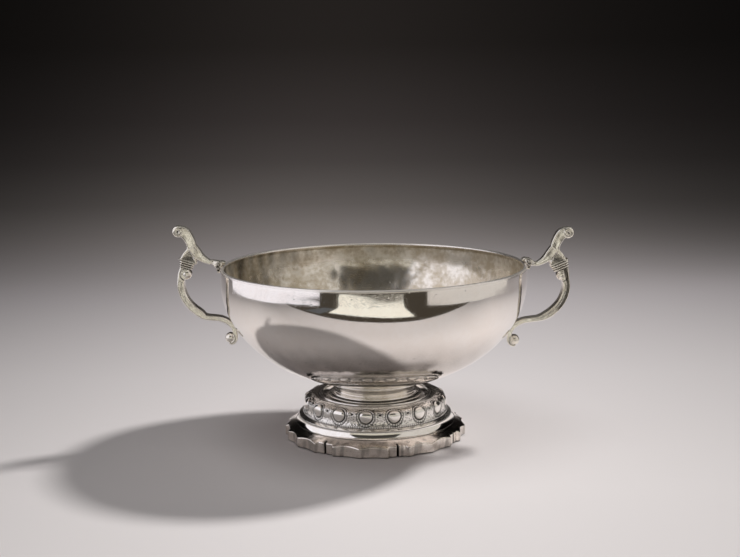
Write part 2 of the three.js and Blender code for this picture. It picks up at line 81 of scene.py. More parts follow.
def arc(
    centre: Pair, semi: Pair, start: float, end: float, steps: int = 24
) -> np.ndarray:
    """Makes points along a part of an ellipse, centre + (semi[0] cos a, semi[1] sin a).

    Args:
        centre: Middle of the ellipse.
        semi: Half of its width and half of its height.
        start: First angle in degrees, 0 being outwards.
        end: Last angle in degrees.
        steps: Steps between the two.

    Returns:
        An array of (radius, height) rows.
    """
    angle = np.radians(np.linspace(start, end, steps + 1))
    return np.column_stack([centre[0] + semi[0] * np.cos(angle), centre[1] + semi[1] * np.sin(angle)])


def rounded(corners: list[Pair], fillet: float, steps: int = 5) -> np.ndarray:
    """Rounds the inner corners of an open line.

    Each rounding is the curve (1-t)^2 a + 2t(1-t) corner + t^2 b, where a and b lie `fillet` before and
    after the corner, or in the middle of a shorter side.

    Args:
        corners: The line's corners. The first and the last stay sharp.
        fillet: Distance from a corner to the ends of its rounding.
        steps: Steps in each rounding.

    Returns:
        An array of (radius, height) rows.
    """
    line = np.array(corners, float)
    before = line[:-2] - line[1:-1]
    after = line[2:] - line[1:-1]
    reach_before = np.linalg.norm(before, axis=1, keepdims=True)
    reach_after = np.linalg.norm(after, axis=1, keepdims=True)
    middle = line[1:-1, None]
    start = middle + (before / reach_before * np.minimum(fillet, reach_before / 2))[:, None]
    end = middle + (after / reach_after * np.minimum(fillet, reach_after / 2))[:, None]
    t = np.linspace(0, 1, steps + 1)[None, :, None]
    curves = (1 - t) ** 2 * start + 2 * t * (1 - t) * middle + t**2 * end
    return np.vstack([line[:1], curves.reshape(-1, 2), line[-1:]])


def evenly(line: np.ndarray, spacing: float) -> np.ndarray:
    """Spaces the points of a line evenly.

    Args:
        line: Rows of (radius, height).
        spacing: About how far apart the new points lie.

    Returns:
        Rows of (radius, height) on the same line.
    """
    length = np.concatenate([[0], np.cumsum(np.linalg.norm(np.diff(line, axis=0), axis=1))])
    count = max(round(length[-1] / spacing), 1)
    places = np.linspace(0, length[-1], count + 1)
    return np.column_stack([np.interp(places, length, column) for column in line.T])


def smooth_line(stations: list[tuple[float, ...]], steps: int) -> np.ndarray:
    """Draws a smooth curve through stations, a centripetal Catmull-Rom spline.

    The knots are spaced by the square root of the distance in the first two columns, and each stretch is
    the Barry-Goldman blend of the four stations around it.

    Args:
        stations: Rows of (x, z, ...), of which all columns are interpolated.
        steps: Steps along the whole curve.

    Returns:
        An array of steps + 1 rows.
    """
    rows = np.array(stations, float)
    ends = (2 * rows[:1] - rows[1:2], 2 * rows[-1:] - rows[-2:-1])
    points = np.vstack([ends[0], rows, ends[1]])
    gaps = np.sqrt(np.linalg.norm(np.diff(points[:, :2], axis=0), axis=1))
    knots = np.concatenate([[0], np.cumsum(gaps)])
    place = np.linspace(0, len(rows) - 1, steps + 1)
    first = np.minimum(place.astype(int), len(rows) - 2)
    k = [knots[first + n][:, None] for n in range(4)]
    p = [points[first + n] for n in range(4)]
    t = k[1] + (place - first)[:, None] * (k[2] - k[1])
    a = [((k[n + 1] - t) * p[n] + (t - k[n]) * p[n + 1]) / (k[n + 1] - k[n]) for n in range(3)]
    b = [((k[n + 2] - t) * a[n] + (t - k[n]) * a[n + 1]) / (k[n + 2] - k[n]) for n in range(2)]
    return ((k[2] - t) * b[0] + (t - k[1]) * b[1]) / (k[2] - k[1])


# Patterns on surfaces


def ridge(distance: np.ndarray, width: float) -> np.ndarray:
    """Returns a rounded ridge, exp(-(distance / width)^2)."""
    return np.exp(-((distance / width) ** 2))


def ramp(value: np.ndarray, start: float, end: float) -> np.ndarray:
    """Returns 0 before start, 1 after end and 3t^2 - 2t^3 between them."""
    t = np.clip((value - start) / (end - start), 0, 1)
    return t * t * (3 - 2 * t)


def hammered(points: np.ndarray, spacing: float, softness: float, seed: int) -> np.ndarray:
    """Works out the height of overlapping round blows, low in each blow and high on the ridges between them.

    One blow falls at a random place in each cube of a grid. The height is the soft minimum of the squared
    distance to the blows of the 27 cubes around a point, -s log(sum(exp(-d^2 / s))), in grid units.

    Args:
        points: Places in millimetres, with x, y and z on the last axis.
        spacing: Side of a cube.
        softness: How far the ridges are worn down, s above.
        seed: Start of the random draws.

    Returns:
        An array of heights, from about 0 to about 0.6.
    """
    side = 48
    jitter = np.random.default_rng(seed).random((side, side, side, 3))
    place = points / spacing
    cube = np.floor(place).astype(int)
    total = np.zeros(points.shape[:-1])
    for step in np.ndindex(3, 3, 3):
        near = cube + np.array(step) - 1
        wrapped = near % side
        blow = near + jitter[wrapped[..., 0], wrapped[..., 1], wrapped[..., 2]]
        total += np.exp(-((place - blow) ** 2).sum(-1) / softness)
    return -softness * np.log(total)


def wavy(points: np.ndarray, wavelength: float, seed: int, waves: int = 20) -> np.ndarray:
    """Works out a smooth random height, the sum of plane waves in random directions.

    Args:
        points: Places in millimetres, with x, y and z on the last axis.
        wavelength: Length of every wave.
        seed: Start of the random draws.
        waves: How many waves there are.

    Returns:
        Heights of about -1 to 1.
    """
    draw = np.random.default_rng(seed)
    direction = draw.normal(size=(waves, 3))
    direction *= 2 * np.pi / wavelength / np.linalg.norm(direction, axis=1, keepdims=True)
    phase = draw.uniform(0, 2 * np.pi, waves)
    return np.cos(points @ direction.T + phase).sum(-1) / np.sqrt(2 * waves)


# Surfaces


@dataclass
class Shell:
    """A closed surface: points in millimetres and the quads that join them."""

    points: np.ndarray
    quads: np.ndarray

    @classmethod
    def from_grid(cls, grid: np.ndarray, closed: bool) -> "Shell":
        """Joins a grid of points, of which the columns always close into rings.

        Args:
            grid: Points with rows, columns and x, y, z as its axes.
            closed: Whether the last row joins the first. Otherwise the end rows are poles.

        Returns:
            The shell.
        """
        rows, columns = grid.shape[:2]
        row = np.arange(rows if closed else rows - 1)[:, None]
        column = np.arange(columns)[None, :]
        up = (row + 1) % rows * columns
        side = (column + 1) % columns
        quads = np.stack([row * columns + column, row * columns + side, up + side, up + column], axis=-1)
        return cls(grid.reshape(-1, 3), quads.reshape(-1, 4))

    def placed(self, turn: np.ndarray, move: np.ndarray) -> "Shell":
        """Returns the shell turned by a matrix and then moved."""
        return Shell(self.points @ turn.T + move, self.quads)


def turned(
    profile: np.ndarray, columns: int, relief: np.ndarray | float = 0.0, closed: bool = True
) -> np.ndarray:
    """Turns a profile about Z.

    Point (i, j) is profile point i, moved by relief[i, j] along the profile's outward normal and turned to
    azimuth a = 2 pi j / columns: (r sin a, -r cos a, z).

    Args:
        profile: Rows of (radius, height), upwards on the outer side.
        columns: Number of points round the axis.
        relief: Height of the surface above the plain profile.
        closed: Whether the profile closes on itself. Otherwise it starts and ends on the axis.

    Returns:
        A grid of points, rows by columns by 3.
    """
    if closed:
        along = np.roll(profile, -1, axis=0) - np.roll(profile, 1, axis=0)
    else:
        along = np.gradient(profile, axis=0)
    normal = np.column_stack([along[:, 1], -along[:, 0]])
    normal /= np.linalg.norm(normal, axis=1, keepdims=True)
    azimuth = np.arange(columns) * 2 * np.pi / columns
    relief = np.broadcast_to(relief, (len(profile), columns))
    radius = profile[:, :1] + relief * normal[:, :1]
    height = profile[:, 1:] + relief * normal[:, 1:]
    return np.stack([radius * np.sin(azimuth), -radius * np.cos(azimuth), height], axis=-1)


def plane_normals(line: np.ndarray) -> np.ndarray:
    """Works out the unit normals of a line in the handle's upright plane.

    Args:
        line: Rows of (x, z, ...).

    Returns:
        Rows of (x, z), which point to the line's left.
    """
    along = np.gradient(line[:, :2], axis=0)
    along /= np.linalg.norm(along, axis=1, keepdims=True)
    return np.column_stack([-along[:, 1], along[:, 0]])


def beside_line(points: np.ndarray, line: np.ndarray) -> np.ndarray:
    """Works out how far points lie to the left of a line in the handle's upright plane.

    Args:
        points: Places in millimetres.
        line: Rows of (x, z, thickness, ...).

    Returns:
        The distances in units of the line's half thickness at its nearest point.
    """
    away = points[:, None, [0, 2]] - line[None, :, :2]
    nearest = (away**2).sum(-1).argmin(1)
    chosen = away[np.arange(len(points)), nearest]
    return (chosen * plane_normals(line)[nearest]).sum(-1) / (line[nearest, 2] / 2)


def strap(line: np.ndarray, dish: float = 0.0) -> Shell:
    """Sweeps a flat-sided strap along a smooth line in the handle's upright plane.

    Across the line the outline is a superellipse, |u / half thickness|^8 + |y / half depth|^8 = 1, whose
    two flat sides are hollowed by dish * (1 - (u / half thickness)^2)^2.

    Args:
        line: Rows of (x, z, thickness in the plane, depth across it).
        dish: Depth of the hollow in each flat side.

    Returns:
        A shell with closed ends.
    """
    power = 8.0
    columns = 64
    turn = (np.arange(columns) + 0.5) * 2 * np.pi / columns
    half = line[:, 2:, None] / 2
    along_arc = (np.abs(np.cos(turn)) ** power + np.abs(np.sin(turn)) ** power) ** (-1 / power)
    out = half[:, 0] * along_arc * np.cos(turn)
    across = half[:, 1] * along_arc * np.sin(turn)
    hollow = dish * np.clip(1 - (out / half[:, 0]) ** 2, 0, 1) ** 2
    across = np.sign(across) * (np.abs(across) - hollow * (np.abs(across) > 0.8 * half[:, 1]))
    normal = plane_normals(line)
    x = line[:, :1] + out * normal[:, :1]
    z = line[:, 1:2] + out * normal[:, 1:]
    grid = np.stack([x, across, z], axis=-1)
    poles = np.broadcast_to(grid[[0, -1]].mean(axis=1, keepdims=True), (2, columns, 3))
    return Shell.from_grid(np.concatenate([poles[:1], grid, poles[1:]]), closed=False)


def disc(x: float, z: float, radius: float, depth: float, softness: float = 0.45) -> Shell:
    """Makes the rolled end of a scroll: a disc across the strap with soft edges and flat sides.

    Args:
        x: Middle of the disc along the handle.
        z: Height of its middle.
        radius: Its radius.
        depth: Its size across the strap.
        softness: Radius of its soft edges as a share of its radius.

    Returns:
        The shell.
    """
    edge = radius * softness
    half = depth / 2
    side = arc((radius - edge, half - edge), (edge, edge), 0, 90, 8)
    crown = np.column_stack([np.linspace(radius - edge, 0, 7)[1:], np.full(6, half)])
    upper = np.vstack([side, crown])
    lower = (upper * [1, -1])[::-1]
    lying = Shell.from_grid(turned(np.vstack([lower, upper]), 48, closed=False), closed=False)
    upright = np.array([[1, 0, 0], [0, 0, -1], [0, 1, 0]], float)
    return lying.placed(upright, np.array([x, 0, z]))


def ball(x: float, y: float, z: float, radius: float) -> Shell:
    """Makes a small bead, a half circle turned about its axis.

    Args:
        x: Middle of the bead along the handle.
        y: Its middle across the strap.
        z: Height of its middle.
        radius: Its radius.

    Returns:
        The shell.
    """
    profile = arc((0, 0), (radius, radius), -90, 90, 10)
    shell = Shell.from_grid(turned(profile, 20, closed=False), closed=False)
    return shell.placed(np.eye(3), np.array([x, y, z]))


# Meshes


def new_object(name: str, data: bpy.types.ID) -> bpy.types.Object:
    """Makes an object and links it to the scene.

    Args:
        name: Name of the object.
        data: Its mesh, lamp or camera.

    Returns:
        The object.
    """
    made = bpy.data.objects.new(name, data)
    bpy.context.collection.objects.link(made)
    return made


def new_mesh(name: str, points: np.ndarray, quads: np.ndarray) -> bpy.types.Mesh:
    """Makes a mesh.

    Args:
        name: Name of the mesh.
        points: Its points in millimetres.
        quads: The four points of each face.

    Returns:
        The mesh, in metres.
    """
    mesh = bpy.data.meshes.new(name)
    mesh.from_pydata((points * MM).tolist(), [], quads.tolist())
    return mesh


def open_sheet(name: str, grid: np.ndarray) -> bpy.types.Object:
    """Makes an open sheet.

    Args:
        name: Name of the object.
        grid: Its points in millimetres, with rows, columns and x, y, z as its axes.

    Returns:
        The object, linked to the scene.
    """
    rows, columns = grid.shape[:2]
    corner = np.arange(rows - 1)[:, None] * columns + np.arange(columns - 1)
    quads = np.stack([corner, corner + 1, corner + columns + 1, corner + columns], axis=-1)
    return new_object(name, new_mesh(name, grid.reshape(-1, 3), quads.reshape(-1, 4)))


def make_mesh(
    name: str, shells: list[Shell], masks: dict[Mask, np.ndarray] | None = None
) -> bpy.types.Object:
    """Makes one smooth object out of closed shells, with its place in its mesh.

    Args:
        name: Name of the object.
        shells: The surfaces, in millimetres.
        masks: A value for each point, for the material.

    Returns:
        The object, linked to the scene.
    """
    starts = np.cumsum([0] + [len(shell.points) for shell in shells[:-1]])
    points = np.vstack([shell.points for shell in shells])
    quads = np.vstack([shell.quads + start for shell, start in zip(shells, starts)])
    mesh = new_mesh(name, points, quads)
    write_masks(mesh, masks or {})
    solid = bmesh.new()
    solid.from_mesh(mesh)
    bmesh.ops.remove_doubles(solid, verts=solid.verts, dist=1e-7)
    bmesh.ops.recalc_face_normals(solid, faces=solid.faces)
    solid.to_mesh(mesh)
    solid.free()
    mesh.shade_smooth()
    return new_object(name, mesh)


def write_masks(mesh: bpy.types.Mesh, masks: dict[Mask, np.ndarray]) -> None:
    """Stores the values that a mesh carries for its material.

    Args:
        mesh: The mesh.
        masks: A value for each point, which is kept between 0 and 1.
    """
    for mask, values in masks.items():
        layer = mesh.attributes.new(mask.value, "FLOAT", "POINT")
        layer.data.foreach_set("value", np.clip(values, 0, 1).astype(np.float32).ravel())


def fused(
    name: str, shells: list[Shell], voxel: float, smoothing: int
) -> tuple[bpy.types.Object, np.ndarray, np.ndarray]:
    """Joins overlapping shells into one cast skin and softens it.

    Args:
        name: Name of the object.
        shells: The surfaces to join, in millimetres.
        voxel: Size of the skin's faces.
        smoothing: Rounds of smoothing.

    Returns:
        The object, its points in millimetres and its normals.
    """
    rough = make_mesh(name, shells)
    remesh = rough.modifiers.new("skin", "REMESH")
    remesh.mode = "VOXEL"
    remesh.voxel_size = voxel * MM
    soften = rough.modifiers.new("soften", "SMOOTH")
    soften.factor = 0.5
    soften.iterations = smoothing
    evaluated = rough.evaluated_get(bpy.context.evaluated_depsgraph_get())
    skin = bpy.data.meshes.new_from_object(evaluated)
    rough.modifiers.clear()
    rough.data = skin
    skin.name = name
    skin.shade_smooth()
    count = len(skin.vertices)
    points = np.empty(count * 3)
    normals = np.empty(count * 3)
    skin.vertices.foreach_get("co", points)
    skin.vertices.foreach_get("normal", normals)
    return rough, points.reshape(-1, 3) / MM, normals.reshape(-1, 3)


def reshape_mesh(piece: bpy.types.Object, points: np.ndarray, masks: dict[Mask, np.ndarray]) -> None:
    """Moves the points of a piece's mesh and stores its masks.

    Args:
        piece: The piece.
        points: Where its points go, in millimetres.
        masks: A value for each point, for the material.
    """
    piece.data.vertices.foreach_set("co", (points * MM).ravel())
    write_masks(piece.data, masks)
    piece.data.update()


# Materials


class Effect(Enum):
    """Names of the node groups that the materials share."""

    TARNISH = "tarnish_patches"
    WEAR = "wear_marks"
    GRIME = "recess_shade_and_grime"


class Graph:
    """Adds nodes to a node tree and links them."""

    def __init__(self, tree: bpy.types.NodeTree) -> None:
        """Starts on a tree."""
        self.tree = tree

    def add(self, kind: str, inputs: dict | None = None, **settings: object) -> bpy.types.Node:
        """Adds a node.

        Args:
            kind: The node's type.
            inputs: A value or a socket for each input, by name or number.
            settings: The node's own properties.

        Returns:
            The node.
        """
        node = self.tree.nodes.new(kind)
        for key, value in settings.items():
            setattr(node, key, value)
        for key, value in (inputs or {}).items():
            if isinstance(value, bpy.types.NodeSocket):
                self.tree.links.new(value, node.inputs[key])
            else:
                node.inputs[key].default_value = value
        return node

    def link(self, source: bpy.types.NodeSocket, node: bpy.types.Node, label: str) -> None:
        """Links a result to a node's input."""
        self.tree.links.new(source, node.inputs[label])

    def effect(self, effect: Effect, inputs: dict) -> bpy.types.Node:
        """Places a shared effect with a value or a socket for each of its inputs."""
        return self.add("ShaderNodeGroup", inputs, node_tree=bpy.data.node_groups[effect.value])

    def mask(self, mask: Mask) -> bpy.types.NodeSocket:
        """Returns a value that the mesh carries."""
        return self.add("ShaderNodeAttribute", attribute_name=mask.value).outputs["Fac"]

    def math(self, operation: str, *values: object) -> bpy.types.NodeSocket:
        """Adds a Math node and returns its result."""
        return self.add("ShaderNodeMath", dict(enumerate(values)), operation=operation).outputs[0]

    def between(self, value: bpy.types.NodeSocket, low: float, high: float) -> bpy.types.NodeSocket:
        """Returns 0 below low, 1 above high and a smooth rise between them."""
        inputs = {"Value": value, "From Min": low, "From Max": high}
        return self.add("ShaderNodeMapRange", inputs, interpolation_type="SMOOTHSTEP").outputs["Result"]

    def mix(self, share: object, first: object, second: object) -> bpy.types.NodeSocket:
        """Mixes two colours and returns the result."""
        inputs = {0: share, 6: first, 7: second}
        return self.add("ShaderNodeMix", inputs, data_type="RGBA").outputs[2]

    def noise(self, place: bpy.types.NodeSocket, scale: object, detail: float = 3.0) -> bpy.types.NodeSocket:
        """Returns a smooth random value around 0.5."""
        inputs = {"Vector": place, "Scale": scale, "Detail": detail}
        return self.add("ShaderNodeTexNoise", inputs).outputs[0]

    def millimetres(self) -> bpy.types.NodeSocket:
        """Reads the place on the object.

        Returns:
            The place in millimetres.
        """
        place = self.add("ShaderNodeTexCoord").outputs["Object"]
        inputs = {0: place, "Scale": 1 / MM}
        return self.add("ShaderNodeVectorMath", inputs, operation="SCALE").outputs[0]

    def stretched(self, place: bpy.types.NodeSocket, turn: tuple, scale: tuple) -> bpy.types.NodeSocket:
        """Returns a place turned and stretched."""
        inputs = {"Vector": place, "Rotation": turn, "Scale": scale}
        return self.add("ShaderNodeMapping", inputs).outputs[0]


def new_material(name: str) -> tuple[bpy.types.Material, Graph, bpy.types.Node]:
    """Makes a material.

    Args:
        name: Name of the material.

    Returns:
        The material, its graph and its surface shader.
    """
    material = bpy.data.materials.new(name)
    material.use_nodes = True
    return material, Graph(material.node_tree), material.node_tree.nodes["Principled BSDF"]


def new_group(
    effect: Effect, inputs: dict[str, float | tuple], outputs: dict[str, str]
) -> tuple[Graph, dict[str, bpy.types.NodeSocket], bpy.types.Node]:
    """Starts a node group.

    Args:
        effect: The effect that it makes.
        inputs: Default value of each input: a number, or four numbers for a colour.
        outputs: Socket type of each output.

    Returns:
        Its graph, its input sockets by name, and its output node.
    """
    tree = bpy.data.node_groups.new(effect.value, "ShaderNodeTree")
    for label, value in inputs.items():
        kind = "NodeSocketColor" if isinstance(value, tuple) else "NodeSocketFloat"
        tree.interface.new_socket(name=label, in_out="INPUT", socket_type=kind).default_value = value
    for label, kind in outputs.items():
        tree.interface.new_socket(name=label, in_out="OUTPUT", socket_type=kind)
    graph = Graph(tree)
    entry = graph.add("NodeGroupInput")
    return graph, {label: entry.outputs[label] for label in inputs}, graph.add("NodeGroupOutput")


def build_tarnish_group() -> None:
    """Builds the group that lays soft patches of tarnish over clean silver."""
    white = (1.0, 1.0, 1.0, 1.0)
    inputs = {"Clean": white, "Tarnish": (0.5, 0.4, 0.3, 1.0), "Coverage": 0.5, "Patch Size": 10.0}
    outputs = {"Color": "NodeSocketColor", "Mask": "NodeSocketFloat"}
    graph, given, out = new_group(Effect.TARNISH, inputs, outputs)
    speckles_in_patch = 6.0
    speckle_share = 0.35
    place = graph.millimetres()
    broad = graph.noise(place, graph.math("DIVIDE", 1.0, given["Patch Size"]), 4.0)
    speckle = graph.noise(place, graph.math("DIVIDE", speckles_in_patch, given["Patch Size"]), 2.0)
    broad_part = graph.math("MULTIPLY", broad, 1 - speckle_share)
    blend = graph.math("MULTIPLY_ADD", speckle, speckle_share, broad_part)
    mask = graph.math("MULTIPLY", graph.between(blend, 0.36, 0.64), given["Coverage"])
    graph.link(graph.mix(mask, given["Clean"], given["Tarnish"]), out, "Color")
    graph.link(mask, out, "Mask")


def build_wear_group() -> None:
    """Builds the group of fine polishing scratches and casting pits. Its height is in millimetres.

    Scratches are the crests of two noises, each stretched along its own direction, and pits are the middles
    of some of the cells of a Voronoi pattern.
    """
    inputs = {"Scratch Depth": 0.002, "Pit Depth": 0.03, "Pit Spacing": 3.0}
    outputs = {"Height": "NodeSocketFloat", "Marks": "NodeSocketFloat"}
    graph, given, out = new_group(Effect.WEAR, inputs, outputs)
    place = graph.millimetres()
    crests = []
    for turn, scale in (((0.3, 0.5, 0.2), (0.25, 7.0, 7.0)), ((1.1, -0.6, 0.9), (0.3, 6.0, 6.0))):
        grain = graph.noise(graph.stretched(place, turn, scale), 1.0, 1.0)
        crests.append(graph.between(grain, 0.62, 0.72))
    scratches = graph.math("MAXIMUM", *crests)
    density = graph.math("DIVIDE", 1.0, given["Pit Spacing"])
    cells = graph.add("ShaderNodeTexVoronoi", {"Vector": place, "Scale": density})
    near = graph.math("SUBTRACT", 1.0, graph.between(cells.outputs["Distance"], 0.04, 0.13))
    chosen = graph.between(graph.noise(place, 0.21, 1.0), 0.5, 0.56)
    pits = graph.math("MULTIPLY", near, chosen)
    sunk = graph.math("MULTIPLY", pits, given["Pit Depth"])
    cut = graph.math("MULTIPLY", scratches, given["Scratch Depth"])
    faint = graph.math("MULTIPLY", scratches, 0.3)
    graph.link(graph.math("MULTIPLY", graph.math("ADD", sunk, cut), -1.0), out, "Height")
    graph.link(graph.math("MAXIMUM", pits, faint), out, "Marks")


def build_shade_and_grime_group() -> None:
    """Builds the group that darkens what a mesh marks: painted shade in its recesses, and dark streaks."""
    inputs = {"Color": (1.0, 1.0, 1.0, 1.0), "Grime": (0.05, 0.04, 0.03, 1.0)}
    outputs = {"Color": "NodeSocketColor", "Mask": "NodeSocketFloat"}
    graph, given, out = new_group(Effect.GRIME, inputs, outputs)
    uneven = graph.noise(graph.millimetres(), 1.3, 3.0)
    broken = graph.math("MULTIPLY_ADD", uneven, 0.6, 0.7)
    mask = graph.math("MINIMUM", graph.math("MULTIPLY", graph.mask(Mask.GRIME), broken), 1.0)
    graph.link(graph.mix(mask, given["Color"], given["Grime"]), out, "Color")
    graph.link(mask, out, "Mask")


def tarnished(
    graph: Graph, clean: Triple, tarnish: Triple, coverage: float, patch_size: float
) -> tuple[bpy.types.NodeSocket, bpy.types.NodeSocket]:
    """Places patches of tarnish in a material.

    Args:
        graph: The material's graph.
        clean: Colour of the clean silver.
        tarnish: Colour of the tarnish.
        coverage: How strong the tarnish is, from 0 to 1.
        patch_size: Size of a patch in millimetres.

    Returns:
        The sockets of the colour and of the tarnish mask.
    """
    inputs = {
        "Clean": (*clean, 1.0), "Tarnish": (*tarnish, 1.0), "Coverage": coverage, "Patch Size": patch_size,
    }
    patches = graph.effect(Effect.TARNISH, inputs)
    return patches.outputs["Color"], patches.outputs["Mask"]


@dataclass(frozen=True)
class Finish:
    """How one kind of silver surface looks. Colours are linear, and sizes are in millimetres."""

    slot: str
    clean: Triple
    tarnish: Triple
    coverage: float
    patch_size: float
    roughness: float
    tarnish_roughness: float
    # Colour of the painted shade in recesses and of the dark streaks and pits.
    grime: Triple = (0.05, 0.042, 0.032)
    scratch_depth: float = 0.0012
    pit_depth: float = 0.02
    pit_spacing: float = 3.0
    metallic: float = 1.0
    mark_roughness: float = 0.12
    grime_roughness: float = 0.12
    matt_roughness: float = 0.25
    matt_metallic: float = -0.2

    @property
    def material_name(self) -> str:
        """The name of the finish's material."""
        return f"{self.slot}_finish"

    def colour(self, graph: Graph) -> tuple[bpy.types.NodeSocket, bpy.types.NodeSocket]:
        """Returns the sockets of the tarnished colour and of the tarnish mask."""
        return tarnished(graph, self.clean, self.tarnish, self.coverage, self.patch_size)

    def build(self) -> None:
        """Builds the finish's material: tarnished silver, painted shade in recesses, scratches and pits."""
        _, graph, shader = new_material(self.material_name)
        colour, tarnish = self.colour(graph)
        grime = graph.effect(Effect.GRIME, {"Color": colour, "Grime": (*self.grime, 1.0)})
        wear = graph.effect(Effect.WEAR, {
            "Scratch Depth": self.scratch_depth, "Pit Depth": self.pit_depth, "Pit Spacing": self.pit_spacing,
        })
        matt = graph.mask(Mask.MATT)
        dull = self.tarnish_roughness - self.roughness
        rough = graph.math("MULTIPLY_ADD", tarnish, dull, self.roughness)
        rough = graph.math("MULTIPLY_ADD", wear.outputs["Marks"], self.mark_roughness, rough)
        rough = graph.math("MULTIPLY_ADD", grime.outputs["Mask"], self.grime_roughness, rough)
        rough = graph.math("MULTIPLY_ADD", matt, self.matt_roughness, rough)
        bump = graph.add("ShaderNodeBump", {"Height": wear.outputs["Height"], "Distance": MM})
        graph.link(grime.outputs["Color"], shader, "Base Color")
        graph.link(graph.math("MULTIPLY_ADD", matt, self.matt_metallic, self.metallic), shader, "Metallic")
        graph.link(rough, shader, "Roughness")
        graph.link(bump.outputs["Normal"], shader, "Normal")


@dataclass(frozen=True)
class RaisedFinish(Finish):
    """The bowl's finish: polished outside, and tarnished inside, where the mesh marks it."""

    inside_clean: Triple = (1.0, 0.95, 0.86)
    inside_tarnish: Triple = (0.45, 0.355, 0.21)
    inside_patch_size: float = 12.0
    inside_coverage: float = 0.7
    inside_dullness: float = 1.4
    inside_mottle: float = 2.5

    def colour(self, graph: Graph) -> tuple[bpy.types.NodeSocket, bpy.types.NodeSocket]:
        """Adds the tarnished silver of both faces and mixes it by the mesh's mask.

        Args:
            graph: The material's graph.

        Returns:
            The sockets of the colour and of the tarnish mask.
        """
        outer, outer_mask = super().colour(graph)
        inner, inner_mask = tarnished(
            graph, self.inside_clean, self.inside_tarnish, self.inside_coverage, self.inside_patch_size,
        )
        inside = graph.mask(Mask.INSIDE)
        outside = graph.math("SUBTRACT", 1.0, inside)
        dull = graph.math("MULTIPLY_ADD", inner_mask, self.inside_mottle, self.inside_dullness)
        mask = graph.math("MULTIPLY_ADD", dull, inside, graph.math("MULTIPLY", outer_mask, outside))
        return graph.mix(inside, outer, inner), mask


RAISED = RaisedFinish(
    slot="raised_silver", clean=(0.99, 0.945, 0.90), tarnish=(0.93, 0.85, 0.78), coverage=0.4,
    patch_size=14.0, roughness=0.035, tarnish_roughness=0.09, pit_spacing=4.0,
)
FOOT = Finish(
    slot="foot_silver", clean=(0.98, 0.95, 0.905), tarnish=(0.80, 0.73, 0.62), coverage=0.3, patch_size=5.0,
    roughness=0.07, tarnish_roughness=0.18,
)
CHASED = Finish(
    slot="chased_silver", clean=(1.0, 0.975, 0.93), tarnish=(0.86, 0.79, 0.68), coverage=0.2, patch_size=3.0,
    roughness=0.10, tarnish_roughness=0.2, grime=(0.018, 0.014, 0.011), metallic=0.92,
)
BAND = Finish(
    slot="band_silver", clean=(0.94, 0.89, 0.83), tarnish=(0.58, 0.51, 0.44), coverage=0.6, patch_size=3.5,
    roughness=0.10, tarnish_roughness=0.22, grime=(0.018, 0.014, 0.011),
)
CAST = Finish(
    slot="cast_silver", clean=(0.99, 0.955, 0.88), tarnish=(0.86, 0.77, 0.61), coverage=0.4, patch_size=4.0,
    roughness=0.16, tarnish_roughness=0.30, metallic=0.85, scratch_depth=0.0, pit_depth=0.04, pit_spacing=1.6,
)


def seat(piece: bpy.types.Object, finish: Finish, *nodes: str) -> None:
    """Puts a finished piece in the place of CAD nodes and gives it its material.

    Args:
        piece: The piece.
        finish: Its finish.
        nodes: Names of the CAD nodes.
    """
    piece.data.materials.clear()
    piece.data.materials.append(bpy.data.materials[finish.material_name])
    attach(piece, BODY)
    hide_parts(*nodes)
    LOG.info("%s: %d faces, %s", piece.name, len(piece.data.polygons), finish.slot)


def seat_grid(
    name: str,
    grid: np.ndarray,
    masks: dict[Mask, np.ndarray | float],
    finish: Finish,
    node: str,
    closed: bool = True,
) -> None:
    """Makes a piece out of one grid of points and seats it in the place of a CAD node.

    Args:
        name: Name of the piece.
        grid: Its points, with rows, columns and x, y, z as its axes.
        masks: A value for each point, for each row or for the whole piece, for the material.
        finish: Its finish.
        node: Name of the CAD node.
        closed: Whether the last row joins the first.
    """
    spread = {mask: np.broadcast_to(values, grid.shape[:2]) for mask, values in masks.items()}
    seat(make_mesh(name, [Shell.from_grid(grid, closed)], spread), finish, node)


# The cup


